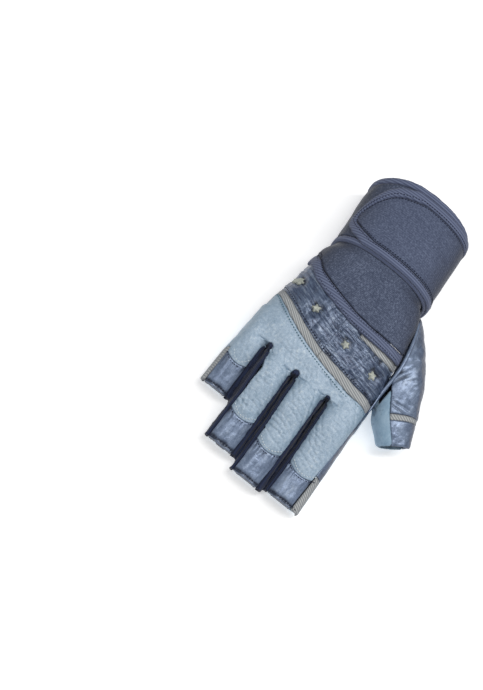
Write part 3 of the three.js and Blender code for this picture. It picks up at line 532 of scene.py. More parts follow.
class Bench:
    """Nodes laid out for one material, with its shader and output ready."""

    def __init__(self, name: str) -> None:
        """Start a material.

        Args:
            name: The material's name.
        """
        self.material = bpy.data.materials.new(name)
        self.material.use_nodes = True
        self.tree = self.material.node_tree
        self.shader = self.tree.nodes["Principled BSDF"]
        self.place = self.add("ShaderNodeTexCoord", "Object")

    def add(self, kind: str, output: str, inputs: dict[str | int, object] | None = None, **settings: object) -> Socket:
        """Add a node.

        Args:
            kind: The node's type.
            output: Which of its outputs to return.
            inputs: The socket that feeds each input, or the input's plain value.
            settings: The node's own properties.

        Returns:
            The output's socket.
        """
        node = self.tree.nodes.new(kind)
        for key, value in settings.items():
            setattr(node, key, value)
        for key, value in (inputs or {}).items():
            if isinstance(value, Socket):
                self.tree.links.new(value, node.inputs[key])
            else:
                node.inputs[key].default_value = value
        return node.outputs[output]

    def sheet(self) -> Socket:
        """Return the piece's own flat place, in metres over its cloth."""
        return self.add("ShaderNodeAttribute", "Vector", attribute_name="flat")

    def facing(self) -> Socket:
        """Return 0 where the surface faces the eye and 1 where it turns away, the mask for painted shade on the
        turned-away sides.
        """
        return self.add("ShaderNodeLayerWeight", "Facing")

    def share(self, name: str) -> Socket:
        """Return a piece's own number, such as how near a seam is."""
        return self.add("ShaderNodeAttribute", "Fac", attribute_name=name)

    def turned(self, source: Socket, scale: Sequence[float], turn: float) -> Socket:
        """Return a pattern's place, turned about Z and stretched."""
        return self.add("ShaderNodeMapping", "Vector", {"Vector": source, "Rotation": (0, 0, turn), "Scale": scale})

    def noise(self, scale: float, detail: float = 3.0, rough: float = 0.55, source: Socket | None = None,
              warp: float = 0.0) -> Socket:
        """Return cloudy values from 0 to 1.

        Args:
            scale: Features in a metre.
            detail: How many finer layers are added.
            rough: How strong they are.
            source: The place to read, or None for the object's own.
            warp: How far the pattern is twisted.

        Returns:
            The value's socket.
        """
        inputs = {"Vector": source or self.place, "Scale": scale, "Detail": detail, "Roughness": rough,
                  "Distortion": warp}
        return self.add("ShaderNodeTexNoise", "Fac", inputs)

    def cells(self, scale: float, source: Socket) -> Socket:
        """Return the distance to the edge of a cell, such as one of a leather's pebbles."""
        inputs = {"Vector": source, "Scale": scale}
        return self.add("ShaderNodeTexVoronoi", "Distance", inputs, feature="DISTANCE_TO_EDGE")

    def waves(self, scale: float, source: Socket, warp: float) -> Socket:
        """Return ribs from 0 to 1 across Y."""
        inputs = {"Vector": source, "Scale": scale, "Distortion": warp, "Detail": 1.0}
        return self.add("ShaderNodeTexWave", "Fac", inputs, bands_direction="Y", wave_profile="SIN")

    def spread(self, source: Socket, low: float, high: float, to_low: float, to_high: float) -> Socket:
        """Return a value moved from one range to another, and held in it."""
        ends = {"From Min": low, "From Max": high, "To Min": to_low, "To Max": to_high}
        return self.add("ShaderNodeMapRange", "Result", {"Value": source, **ends})

    def sum(self, a: Socket, b: Socket, share: float) -> Socket:
        """Return a plus a share of b."""
        return self.add("ShaderNodeMath", "Value", {0: b, 1: share, 2: a}, operation="MULTIPLY_ADD")

    def tones(self, source: Socket, *stops: tuple[float, str]) -> Socket:
        """Return a colour picked by a value, from stops of place and screen colour."""
        colour = self.add("ShaderNodeValToRGB", "Color", {"Fac": source})
        ramp = colour.node.color_ramp
        while len(ramp.elements) < len(stops):
            ramp.elements.new(0.5)
        for element, (place, screen) in zip(ramp.elements, stops):
            element.position = place
            element.color = linear(screen)
        return colour

    def dyed(self, a: Socket, b: str, amount: Socket) -> Socket:
        """Return colour a turned towards screen colour b by an amount."""
        return self.add("ShaderNodeMix", "Result", {"Factor": amount, "A": a, "B": linear(b)}, data_type="RGBA")

    def bumps(self, *layers: tuple[Socket, float]) -> None:
        """Raise the surface by layers of height, each with its depth in mm."""
        below: dict[str, Socket] = {}
        for height, depth in layers:
            inputs = {"Strength": 1.0, "Distance": depth / 1000, "Height": height, **below}
            below = {"Normal": self.add("ShaderNodeBump", "Normal", inputs)}
        self.tree.links.new(below["Normal"], self.shader.inputs["Normal"])

    def colour(self, source: Socket) -> None:
        """Give the shader its colour."""
        self.tree.links.new(source, self.shader.inputs["Base Color"])

    def gloss(self, source: Socket, low: float, high: float) -> None:
        """Give the shader a roughness that varies between two values."""
        self.tree.links.new(self.spread(source, 0.25, 0.75, low, high), self.shader.inputs["Roughness"])

    def set(self, **values: float) -> None:
        """Set the shader's plain values, with _ for a space in each name."""
        for key, value in values.items():
            self.shader.inputs[key.replace("_", " ").title().replace("Ior", "IOR")].default_value = value


@dataclass(frozen=True)
class Leather:
    """Grained leather with pores, streaks of tone and painted highlight, painted shade in its folds and painted shade
    on the sides that turn from the eye.
    """

    name: str
    # Four tones from dark to light; the lightest is the painted highlight that the streaks reach
    tones: tuple[str, str, str, str]
    # side is the painted shade colour that the sides turning from the eye take on
    side: str
    # deep is the colour of the pores, and also the painted shade in the folds
    deep: str
    gloss: tuple[float, float]
    # The density of the streaks of tone and painted highlight, in a metre along each flat axis
    streaks: tuple[float, float]
    speckle: float
    # How far the painted shade on the turned-away sides turns the colour towards side
    painted_side_shade: float
    bump: float
    pearl: float = 0.0
    coat: float = 0.0
    spread: float = 0.1
    soft: float = 1.0

    def material(self) -> bpy.types.Material:
        """Return the leather's material."""
        b = Bench(self.name)
        cloud = b.noise(80, 4, 0.6, warp=0.5)
        fine = b.noise(620, 2, 0.6)
        # The streaks vary the tone and paint lengthwise highlights into the colour
        lines = b.noise(1.0, 3, 0.62, b.turned(b.sheet(), (*self.streaks, 150), 0.06), 0.5)
        streaked = b.sum(b.spread(cloud, 0, 1, -self.spread, self.spread), lines, 1.0)
        mixed = b.sum(streaked, b.spread(fine, 0, 1, -0.5, 0.5), self.speckle)
        places = [0.5 + k * self.soft for k in (-0.16, -0.04, 0.06, 0.18)]
        colour = b.tones(mixed, *zip(places, self.tones))
        pores = b.cells(900, b.turned(b.place, (1, 1, 1), 0.3))
        colour = b.dyed(colour, self.deep, b.spread(pores, 0.0, 0.16, 0.25, 0.0))
        # Painted shade: the colour turns towards side where the surface turns from the eye
        colour = b.dyed(colour, self.side, b.spread(b.facing(), 0.1, 0.55, 0.0, self.painted_side_shade))
        # Painted shade in the folds, deeper where a crease is deeper
        colour = b.dyed(colour, self.deep, b.spread(b.share("fold"), 0.1, 1.0, 0.0, 0.75))
        b.colour(colour)
        b.gloss(b.sum(cloud, fine, 0.3), *self.gloss)
        b.bumps((cloud, self.bump), (lines, self.bump * 1.6), (fine, self.bump * 0.7))
        b.set(metallic=self.pearl, coat_weight=self.coat, coat_roughness=0.3, specular_ior_level=0.5)
        return b.material


@dataclass(frozen=True)
class Suede:
    """Napped suede with brushed streaks."""

    name: str
    tones: tuple[str, str, str]
    deep: str

    def material(self) -> bpy.types.Material:
        """Return the suede's material."""
        b = Bench(self.name)
        brushed = b.noise(60, 5, 0.65, warp=1.2)
        nap = b.noise(2600, 4, 0.7)
        colour = b.tones(b.sum(brushed, nap, 0.5), (0.5, self.tones[0]), (0.72, self.tones[1]), (0.95, self.tones[2]))
        colour = b.dyed(colour, self.deep, b.spread(b.share("seam"), 0.6, 1.0, 0.0, 0.35))
        b.colour(colour)
        b.gloss(nap, 0.88, 1.0)
        b.bumps((brushed, 0.15), (nap, 0.12))
        b.set(sheen_weight=0.35, sheen_roughness=0.5, specular_ior_level=0.2)
        return b.material


@dataclass(frozen=True)
class Knit:
    """Heathered stretch knit in fine ribs, with painted shade where it turns from the eye."""

    name: str
    tones: tuple[str, str, str]
    ribs: float
    speckle: float

    def material(self) -> bpy.types.Material:
        """Return the knit's material."""
        b = Bench(self.name)
        cloud = b.noise(45, 3, 0.5)
        speckle = b.noise(850, 3, self.speckle)
        ribs = b.waves(WAVE_SCALE * self.ribs / 1000, b.sheet(), 0.4)
        mixed = b.sum(b.sum(speckle, cloud, 0.15), ribs, 0.08)
        colour = b.tones(mixed, (0.42, self.tones[0]), (0.62, self.tones[1]), (0.84, self.tones[2]))
        # Painted shade where the cloth turns from the eye
        colour = b.dyed(colour, SHADED_CLOTH, b.spread(b.facing(), 0.12, 0.6, 0.0, 0.75))
        b.colour(b.dyed(colour, self.tones[0], b.spread(b.share("seam"), 0.5, 1.0, 0.0, 0.5)))
        b.gloss(speckle, 0.82, 0.96)
        b.bumps((cloud, 0.6), (speckle, 0.3), (ribs, 0.08))
        b.set(sheen_weight=0.25, sheen_roughness=0.4, specular_ior_level=0.25)
        return b.material


@dataclass(frozen=True)
class Ribbed:
    """Woven elastic or binding, with raised ribs at an angle to its length and painted shade where it turns from the
    eye.
    """

    name: str
    tones: tuple[str, str, str]
    pitch: float
    turn: float
    depth: float

    def material(self) -> bpy.types.Material:
        """Return the woven material."""
        b = Bench(self.name)
        place = b.turned(b.sheet(), (1, 1, 1), self.turn)
        ribs = b.waves(WAVE_SCALE / self.pitch, place, 0.15)
        weave = b.noise(1700, 3, 0.7)
        cloud = b.noise(80, 3)
        mixed = b.sum(b.sum(b.spread(ribs, 0, 1, 0.15, 0.75), weave, 0.25), cloud, 0.15)
        colour = b.tones(mixed, (0.3, self.tones[0]), (0.6, self.tones[1]), (0.95, self.tones[2]))
        # Painted shade where the weave turns from the eye
        colour = b.dyed(colour, self.tones[0], b.spread(b.facing(), 0.15, 0.6, 0.0, 0.7))
        b.colour(b.dyed(colour, self.tones[0], b.spread(b.share("seam"), 0.5, 1.0, 0.0, 0.6)))
        b.gloss(weave, 0.7, 0.9)
        b.bumps((ribs, self.depth), (weave, 0.1))
        b.set(sheen_weight=0.15, specular_ior_level=0.3)
        return b.material


@dataclass(frozen=True)
class Thread:
    """Twisted sewing thread."""

    name: str
    tones: tuple[str, str]

    def material(self) -> bpy.types.Material:
        """Return the thread's material."""
        b = Bench(self.name)
        twist = b.noise(2500, 2)
        b.colour(b.tones(twist, (0.35, self.tones[0]), (0.65, self.tones[1])))
        b.gloss(twist, 0.45, 0.7)
        b.bumps((twist, 0.08))
        b.set(specular_ior_level=0.4)
        return b.material


class Stuff(Enum):
    """The finishes that pieces are made of."""

    # Each leather's colours: four tones whose lightest is painted highlight, then the painted shade on its turned-away
    # sides, then its pores' colour, which also paints the shade in its folds
    SKY = Leather("sky_leather_finish", ("9fb6ca", "adc2d6", "bacddf", "d0dfea"), "6d889c", "567086",
                  (0.34, 0.46), (520, 420), 0.5, 0.6, 0.22, spread=0.05, soft=1.5)
    NAVY = Leather("navy_leather_finish", ("66768f", "7e8fab", "93a4be", "b4c2d5"), "222c46", "0c1124",
                   (0.26, 0.38), (330, 90), 0.35, 0.9, 0.2, 0.3, 0.2, spread=0.05, soft=2.1)
    BAND = Leather("band_leather_finish", ("36425f", "55647f", "70809b", "a4b2c6"), "1c2640", "060914",
                   (0.26, 0.38), (95, 560), 0.25, 0.35, 0.4, 0.25, 0.25, spread=0.08, soft=1.25)
    STAR = Leather("star_leather_finish", ("9a9f9a", "aeb3aa", "bfc3b8", "d3d6cb"), "8a8f88", "7a7f7a",
                   (0.5, 0.65), (500, 500), 0.4, 0.3, 0.1, spread=0.04)
    SUEDE = Suede("sky_suede_finish", ("7c9ab2", "95b1c7", "afc7d8"), "4f6f89")
    CHARCOAL = Knit("charcoal_cloth_finish", ("2f2d42", "3d3b54", "504e69"), 1400, 0.6)
    SLATE = Knit("slate_knit_finish", ("3b4358", "525b71", "7e889f"), 900, 0.8)
    TAB = Knit("tab_knit_finish", ("475067", "586179", "707a92"), 700, 0.6)
    LINING = Knit("lining_finish", ("14182a", "1b2036", "252b45"), 1200, 0.4)
    BINDING = Ribbed("binding_finish", ("4a526c", "5e6782", "747e99"), 1.8, 0.0, 0.1)
    GUSSET = Ribbed("gusset_mesh_finish", ("121932", "202a48", "364464"), 0.9, 0.6, 0.12)
    ELASTIC = Ribbed("elastic_finish", ("868a8f", "a8acae", "c9cbca"), 1.6, 0.3, 0.3)
    PALE = Thread("pale_thread_finish", ("c3d2dc", "e6eef2"))
    TEAL = Thread("teal_thread_finish", ("3f6474", "5b8494"))
    DARK = Thread("dark_thread_finish", ("10162a", "202845"))

    def material(self) -> bpy.types.Material:
        """Return the finish's one material, made at its first use."""
        return bpy.data.materials.get(self.value.name) or self.value.material()


class Layer(Enum):
    """What a piece lies on, with the offsets of its inner and outer faces in mm."""

    SKIN = (-1.6, 0.0)
    PAD = (0.3, 2.3)
    CUFF = (0.3, 2.1)
    RING = (2.4, 4.2)
    STRAP = (4.5, 6.3)


@dataclass
class Cut:
    """One remeshed piece being shaped, in mm."""

    p: Points
    depth: Heights
    away: Heights
    toward: Points
    outer: np.ndarray
    inner: np.ndarray


@dataclass
class Panel:
    """One sewn piece, made from a copy of its solid and shaped on the form.

    Lengths are in mm. Its grid is voxel fine, its cut edges are rolled over roll and swell out by swell, its seams lie
    sunk under the form and its face lies lift over it. No point moves further than reach. Fill, a padded piece's
    tightness, is not used. Cloth, a sheet's flat length, width and area in metres, is not used. Turn gives the flat
    place of a point for the pattern, and stretch moves points along the form at the end.
    """

    node: str
    stuff: Stuff
    slot: str
    layer: Layer = Layer.SKIN
    members: Sequence[str] = ALL
    voxel: float = 0.7
    roll: float = 0.7
    sink: float = 0.0
    lift: float = 0.0
    relief: Relief | None = None
    smooth: int = 2
    fill: float | None = None
    cloth: tuple[float, float, float] | None = None
    turn: Move | None = None
    blend: float = 3.0
    reach: float = 2.4
    swell: float = 0.22
    stretch: Move | None = None

    def build(self) -> bpy.types.Object:
        """Copy, remesh, shape and dress the piece.

        Returns:
            The finished piece.
        """
        piece = self._copy()
        cut = self._measure(piece.data)
        fold = self._shape(cut)
        self._relax(piece.data, cut)
        self._write(piece.data, cut, fold)
        self._dress(piece, cut)
        log.info("%s: %d faces", piece.name, len(piece.data.polygons))
        return piece

    def field(self, p: Points) -> Heights:
        """Return the offset from what the piece lies on."""
        if self.layer in (Layer.SKIN, Layer.PAD):
            return FORM.skin(p, self.members, self.blend)
        return FORM.body(p)

    def _copy(self) -> bpy.types.Object:
        """Return a finely remeshed copy of the piece's solid."""
        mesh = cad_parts[self.node].data.copy()
        piece = bpy.data.objects.new(f"{self.node}_sewn", mesh)
        bpy.context.scene.collection.objects.link(piece)
        edit(piece, bpy.ops.mesh.remove_doubles, threshold=1e-6)
        grid = piece.modifiers.new("grid", "REMESH")
        grid.mode = "VOXEL"
        grid.voxel_size = self.voxel / 1000
        bpy.ops.object.modifier_apply(modifier=grid.name)
        bpy.ops.object.shade_smooth()
        return piece

    def _measure(self, mesh: bpy.types.Mesh) -> Cut:
        """Return the piece's points, which side each is on and how far from its cut edge.

        Args:
            mesh: The remeshed copy.

        Returns:
            The measured cut.
        """
        count = len(mesh.vertices)
        p = np.zeros(count * 3)
        mesh.vertices.foreach_get("co", p)
        p = p.reshape(-1, 3) * 1000 - ORIGIN
        normal = np.zeros(count * 3, np.float32)
        mesh.vertex_normals.foreach_get("vector", normal)
        normal = normal.reshape(-1, 3)
        depth = self.field(p)
        step = 0.05
        toward = rise(self.field, p, depth, step) / step
        length = np.maximum(np.linalg.norm(toward, axis=1), 0.3)
        facing = (normal * toward).sum(1) / length
        low, high = self.layer.value
        middle = (low + high) / 2
        plain = (normal[:, 2] * np.where(p[:, 2] > UNDERSIDE, 1, -1) > UPRIGHT) & (depth < high + 1)
        odd = plain & (facing <= FACED)
        toward[odd], length[odd] = normal[odd], 1.0
        outer = plain | (facing > FACED) & (depth > middle - SLACK)
        inner = (facing < -FACED) & (depth < middle + SLACK)
        toward = toward / (length**2)[:, None]
        rim = np.flatnonzero(~outer & ~inner)
        away = np.full(count, FAR)
        if len(rim):
            tree = KDTree(len(rim))
            for i, q in enumerate(p[rim]):
                tree.insert(q, i)
            tree.balance()
            faced = outer | inner
            away[faced] = [tree.find(q)[2] for q in p[faced]]
            away[rim] = 0.0
        p[rim] += normal[rim] * self.swell
        return Cut(p, depth, away, toward, outer, inner)

    def _shape(self, cut: Cut) -> Heights:
        """Move the outer and inner faces onto the form, with rolled edges, sunk seams and relief.

        Args:
            cut: The measured piece, whose points are moved.

        Returns:
            How deep each point's fold is, from 0 to 1, which sets its painted shade.
        """
        low, high = self.layer.value
        high = high + self.lift
        edge = np.clip(1 - cut.away / self.roll, 0, 1)
        drop = self.roll * ROLL_DROP * (1 - np.sqrt(np.maximum(1 - edge**2, 0)))
        drop += self.sink * (1 - ease(cut.away, 0, SEAM_SLOPE))
        relief = self.relief(cut) if self.relief else np.zeros(len(cut.p))
        target = high - drop + relief * ease(cut.away, -0.3, 1.4)
        floor = high - self.roll * ROLL_DROP - self.sink
        rim = ~cut.outer & ~cut.inner & (cut.depth > floor)
        goal = np.where(cut.outer, target, np.where(cut.inner, low, np.where(rim, floor, cut.depth)))
        depth, start = cut.depth, cut.p
        for _ in range(3):
            cut.p = held(cut.p, cut.p + (goal - depth)[:, None] * cut.toward, ROUND_STEP)
            depth = self.field(cut.p)
        cut.p = held(start, cut.p, self.reach)
        if self.stretch:
            cut.p = self.stretch(cut.p)
        cut.p[:, 2] = np.maximum(cut.p[:, 2], 0.0)
        # How much painted shade each outer point gets from the depth of its fold
        return np.clip(-relief * FOLD_SHADE, 0, 1) * cut.outer

    def _relax(self, mesh: bpy.types.Mesh, cut: Cut) -> None:
        """Even out the points with their neighbours, a little.

        Args:
            mesh: The mesh whose edges join the points.
            cut: The piece, whose points are moved.
        """
        ends = np.zeros(len(mesh.edges) * 2, np.int32)
        mesh.edges.foreach_get("vertices", ends)
        a, b = ends.reshape(-1, 2).T
        both, other = np.concatenate((a, b)), np.concatenate((b, a))
        count = np.maximum(np.bincount(both, minlength=len(cut.p)), 1)
        for _ in range(self.smooth):
            mean = np.stack([np.bincount(both, cut.p[other, k], len(cut.p)) / count for k in range(3)], 1)
            cut.p = cut.p + (mean - cut.p) * 0.5

    def _write(self, mesh: bpy.types.Mesh, cut: Cut, fold: Heights) -> None:
        """Write the points, the flat places, the seams and the folds' depth for painted shade into the mesh.

        Args:
            mesh: The mesh to write.
            cut: The shaped piece.
            fold: How deep each point's fold is, for its painted shade.
        """
        mesh.vertices.foreach_set("co", ((cut.p + ORIGIN) / 1000).astype(np.float32).ravel())
        flat = self.turn(cut.p) if self.turn else cut.p
        for name, kind, key, values in (
            ("flat", "FLOAT_VECTOR", "vector", flat / 1000),
            ("seam", "FLOAT", "value", 1 - ease(cut.away, 0, 2.2)),
            ("fold", "FLOAT", "value", fold),
        ):
            mesh.attributes.new(name, kind, "POINT").data.foreach_set(key, values.astype(np.float32).ravel())
        mesh.update()

    def _dress(self, piece: bpy.types.Object, cut: Cut) -> None:
        """Give the piece its finish outside and a lining inside, and place it in the frame.

        Args:
            piece: The piece.
            cut: Its shaped points.
        """
        piece.data.materials.clear()
        piece.data.materials.append(self.stuff.material())
        if self.layer is Layer.SKIN:
            piece.data.materials.append(Stuff.LINING.material())
            total = len(piece.data.loops)
            corner = np.zeros(total, np.int32)
            piece.data.loops.foreach_get("vertex_index", corner)
            start = np.zeros(len(piece.data.polygons), np.int32)
            piece.data.polygons.foreach_get("loop_start", start)
            lined = cut.inner & (cut.away > HEM)
            inside = np.minimum.reduceat(lined[corner].astype(np.int32), start)
            piece.data.polygons.foreach_set("material_index", inside)
        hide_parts(self.node)
        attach(piece, "root")


def along_seam(seam: Move) -> Move:
    """Return a flat place that runs along a seam and away from it."""
    return lambda p: mat3(p[:, 0] * 1.12 + p[:, 2] * np.sign(p[:, 0]) * 0.6, p[:, 1] - seam(p[:, 0]))


def round_wrist(p: Points) -> Points:
    """Return a flat place that runs round the wrist and along the hand."""
    y = p[:, 1]
    _, mid, _ = FORM.section(y)
    angle = np.arctan2((p[:, 2] - mid) / 24, (p[:, 0] - FORM.lean(y)) / FORM.half(y))
    return mat3(angle * 32, y)


def rounded(u: Points) -> Points:
    """Return how far a tongue's end is drawn forward at u, from -1 at one side to 1 at the other."""
    return 0.8 - 4.0 * np.clip(np.abs(u) - 0.15, 0, 1) ** 1.6


def rounder_tongues(p: Points) -> Points:
    """Return points on the back with the ends of the leather's tongues drawn rounder."""
    out = p.copy()
    for name in FINGERS:
        f = FORM.fingers[name]
        u = np.clip((p[:, 0] - f.x(p[:, 1])) / f.half(p[:, 1]), -1.3, 1.3)
        mine = (np.abs(u) < 1.25) & (p[:, 2] > 6)
        out[:, 1] += rounded(u) * hump(p[:, 1] - f.tongue + 3, 7.5) * mine
    return out


def past_tips(p: Points) -> Points:
    """Return the palm suede's points, with its ends drawn back under the leather tips."""
    out = p.copy()
    for name in FINGERS:
        f = FORM.fingers[name]
        y = p[:, 1] - TIP_SLANT * (p[:, 2] - TIP_HEIGHT / 2)
        mine = np.abs(p[:, 0] - f.x(y)) < f.half(y) + 2
        out[:, 1] -= 1.1 * ease(y, f.tip - 5, f.tip) * mine
    return out


def short_below(p: Points) -> Points:
    """Return the thumb's points, with the underside of its mouth drawn back."""
    share, _, up = FORM.thumb_at(p)
    ahead = between(FORM.thumb_ahead, FORM.shares, share)
    return p - ahead * (3.2 * ease(share, 0.72, 1.0) * ease(-up, -8, 6))[:, None]


def grip_pads() -> list[tuple[float, float]]:
    """Return the middle of each raised grip pad on the palm."""
    middles = []
    for name, places in GRIP_PADS:
        for share in places:
            y = KNUCKLE_REACH + share * FINGER_REACH
            middles.append((float(FORM.fingers[name].x(np.array([y]))[0]), y))
    return middles


class Reliefs:
    """Folds, puffs and wrinkles, as heights in mm."""

    @staticmethod
    def back(cut: Cut) -> Heights:
        """Return the back leather's knuckle creases and soft waves."""
        x, y, _ = cut.p.T
        total = CLOUD.soft(cut.p / 17 + 3, 2) * 0.8
        for name, strength in (("index", 0.7), ("middle", 0.85), ("ring", 0.9), ("pinky", 0.4)):
            f = FORM.fingers[name]
            side = hump(x - f.x(y), f.half(y) * 0.9, 4)
            zone = side * ease(y, f.knuckle - 24, f.knuckle - 4) * (1 - ease(y, f.tongue - 9, f.tongue - 3))
            cross = CLOUD.folds(y + 0.25 * x, x, 3.4, 1.0, 2.5, f.knuckle)
            slant = CLOUD.folds(x + 0.6 * y, y, 4.2, 1.0, 3, f.tip)
            tiny = CLOUD.folds(y - 0.15 * x, x, 1.9, 0.8, 2, f.start)
            total -= strength * zone * (0.55 * cross + 0.4 * slant + 0.22 * tiny)
            total += 0.6 * zone * side + 0.4 * zone * CLOUD.soft(cut.p / 6, 2)
        return total

    @staticmethod
    def band(cut: Cut) -> Heights:
        """Return the star band's crumpled puff, with its creases along the band."""
        x, y, z = cut.p.T
        over = y - 0.6 * BAND_SEAM(x) - 0.4 * REAR_SEAM(x)
        along = CLOUD.folds(over, x * 1.1 + z * np.sign(x) * 0.5, 2.1, 1.2, 1.6, 3.0)
        fine = CLOUD.folds(over + 0.2 * x, x, 1.5, 1.0, 1.5, 8.0)
        cross = CLOUD.folds(x - 0.3 * y, y, 5.5, 1.1, 4, 6.0)
        puff = 1.1 * ease(cut.away, 0, 5) - 0.5 * hump(over + 7, 3.0)
        return puff + CLOUD.soft(cut.p / 5, 2) * 0.9 - 0.65 * along - 0.3 * fine - 0.3 * cross

    @staticmethod
    def tip(name: str) -> Relief:
        """Return a finger tip's lengthwise folds."""
        def heights(cut: Cut) -> Heights:
            """Return the heights for one cut."""
            f = FORM.fingers[name]
            x, y, _ = cut.p.T
            u = (x - f.x(y)) / f.half(y)
            wave = 0.5 * hump(u + 0.38, 0.2) + 0.5 * hump(u - 0.3, 0.2)
            near = 1 - ease(y, f.tongue, f.tongue + 18) * 0.4
            tuck = CLOUD.folds(x + 0.4 * np.sin(y / 5), y, 2.6, 1.2, 2.5, f.tip)
            tuck *= 1 - ease(y, f.tongue, f.tongue + 10)
            return wave * near + CLOUD.soft(cut.p / 6, 3) * 0.5 - 0.45 * tuck - 0.9 * hump(y - f.tip, 1.6)
        return heights

    @staticmethod
    def gusset(first: str, second: str) -> Relief:
        """Return a gusset's two rolls with the deep fold between them."""
        def heights(cut: Cut) -> Heights:
            """Return the heights for one cut."""
            a, b = FORM.fingers[first], FORM.fingers[second]
            x, y, _ = cut.p.T
            middle = (a.x(y) + a.half(y) + b.x(y) - b.half(y)) / 2
            root = max(a.knuckle, b.knuckle)
            zigzag = 0.7 * CLOUD.soft(mat3(y / 6, y * 0, 4.5), 2)
            slot = hump(x - middle - zigzag, 0.75) * ease(y, root - 22, root - 12)
            edge = 0.35 * hump(cut.away - 1.1, 0.7)
            pucker = CLOUD.folds(y, x, 3.4, 1.5, 3, a.tip)
            return edge - 1.35 * slot - 0.25 * pucker + 0.2
        return heights

    @staticmethod
    def thumb(cut: Cut) -> Heights:
        """Return the thumb's puckers, which fan out from where it joins the hand."""
        x, y, _ = cut.p.T
        x, y = x - THUMB_ROOT[0], y - THUMB_ROOT[1]
        way = np.arctan2(y, x) * 20
        far = np.hypot(x, y)
        fan = CLOUD.folds(way, far, 3.4, 0.8, 2.2, 2.0) * ease(far, 3, 9) * (1 - ease(far, 22, 40))
        return 0.3 + CLOUD.soft(cut.p / 8, 3) * 1.0 - 0.75 * fan

    @staticmethod
    def puffed(height: float, width: float, ripple: float = 0.12) -> Relief:
        """Return a rounded puff of a height that is reached at a width from the edge."""
        def heights(cut: Cut) -> Heights:
            """Return the heights for one cut."""
            t = np.clip(1 - cut.away / width, 0, 1)
            return height * np.sqrt(np.maximum(1 - t * t, 0)) + CLOUD.soft(cut.p / 5, 2) * ripple
        return heights

    @staticmethod
    def waved(size: float, height: float, puff: float = 0.0) -> Relief:
        """Return soft waves of a size in mm, with a puff in from the edge."""
        def heights(cut: Cut) -> Heights:
            """Return the heights for one cut."""
            return CLOUD.soft(cut.p / size + 11, 3) * height + puff * ease(cut.away, 0, 6)
        return heights

    @staticmethod
    def finger_palm(cut: Cut) -> Heights:
        """Return the palm suede's raised grip pads, each in a pressed ring."""
        x, y, z = cut.p.T
        total = CLOUD.soft(cut.p / 14, 3) * 0.5
        for pad_x, pad_y in grip_pads():
            r = np.hypot(x - pad_x, y - pad_y)
            total += np.where(z < 9, 1.2 * (1 - ease(r, 3.2, 4.4)) - 0.4 * hump(r - 5.4, 0.6), 0)
        return total


def strap_edge(inset: float) -> tuple[Points, Points]:
    """Return the strap's edge drawn in by an inset, as angles round the wrist and places along the hand."""
    end = Curve((0, 0.07, 0.14, 0.3, 0.5, 0.68, 0.76, 0.84, 0.92, 1), (80, 66, 54, 41, 29, 21, 20.5, 27, 41, 58))
    low, high, count = STRAP_LOW + inset, STRAP_LOW + STRAP_WIDTH - inset, 120
    share = np.linspace(0, 1, 60)
    corner = np.radians(end(share)) - 2 * math.pi + inset / STRAP_RADIUS
    out = np.linspace(STRAP_START, corner[0], count)
    back = np.linspace(corner[-1], STRAP_START, count)
    places = np.concatenate((np.full(count, low), low + share * (high - low), np.full(count, high)))
    return np.concatenate((out, corner, back)), places


def modelled(name: str, points: Points, faces: list[tuple[int, ...]], stuff: Stuff) -> bpy.types.Object:
    """Return a smooth piece made from its points and faces.

    Args:
        name: The piece's name.
        points: Its points in mm.
        faces: Its faces.
        stuff: Its finish.

    Returns:
        The piece, riding on the frame's one body.
    """
    mesh = bpy.data.meshes.new(name)
    mesh.from_pydata(((points + ORIGIN) / 1000).tolist(), [], faces)
    mesh.polygons.foreach_set("use_smooth", [True] * len(mesh.polygons))
    mesh.materials.append(stuff.material())
    piece = bpy.data.objects.new(name, mesh)
    bpy.context.scene.collection.objects.link(piece)
    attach(piece, "root")
    return piece


@dataclass
class Welt:
    """A rolled edge of leather that is swept along a line on the form."""

    name: str
    stuff: Stuff
    slot: str
    line: Points
    wide: float = 1.3
    tall: float = 0.8
    sides: int = 12

    def build(self) -> bpy.types.Object:
        """Sweep the roll along its line.

        Returns:
            The finished piece.
        """
        place, way = Stitching.paced(self.line, 0.8)
        up = unit(rise(FORM.skin, place, FORM.skin(place), 0.1))
        side = unit(np.cross(up, way))
        count = len(place)
        taper = np.sqrt(np.clip(np.minimum(np.arange(count), np.arange(count)[::-1]) / 5, 0.02, 1))[:, None, None]
        turn = np.linspace(0, 2 * math.pi, self.sides, endpoint=False)
        swell = 1 + 0.25 * CLOUD.soft(place / 4, 2)[:, None, None]
        ring = (np.cos(turn)[None, :, None] * side[:, None] * self.wide
                + np.sin(turn)[None, :, None] * up[:, None] * self.tall) * taper * swell
        points = (place[:, None] + ring).reshape(-1, 3)
        faces = [
            (i * self.sides + k, i * self.sides + (k + 1) % self.sides,
             (i + 1) * self.sides + (k + 1) % self.sides, (i + 1) * self.sides + k)
            for i in range(count - 1) for k in range(self.sides)
        ]
        faces.append(tuple(range(self.sides))[::-1])
        faces.append(tuple(range((count - 1) * self.sides, count * self.sides)))
        piece = modelled(self.name, points, faces, self.stuff)
        edit(piece, bpy.ops.mesh.normals_make_consistent, inside=False)
        log.info("%s: %d faces", piece.name, len(piece.data.polygons))
        return piece


@dataclass
class Stitch:
    """One short stitch, copied along every row of its thread."""

    length: float = 1.4
    radius: float = 0.36

    def model(self) -> Model:
        """Model the stitch as a rounded grain of thread, lying along X.

        Returns:
            Its points in mm and its faces.
        """
        bpy.ops.object.select_all(action="DESELECT")
        bpy.ops.mesh.primitive_uv_sphere_add(segments=8, ring_count=6, radius=1.0)
        ball = bpy.context.object
        co = np.array([v.co for v in ball.data.vertices])
        faces = [tuple(p.vertices) for p in ball.data.polygons]
        bpy.data.objects.remove(ball)
        co = co[:, (2, 0, 1)]
        flat = np.sign(co[:, 0]) * np.abs(co[:, 0]) ** 0.7
        return np.stack((flat * self.length / 2, co[:, 1] * self.radius, co[:, 2] * self.radius), 1), faces


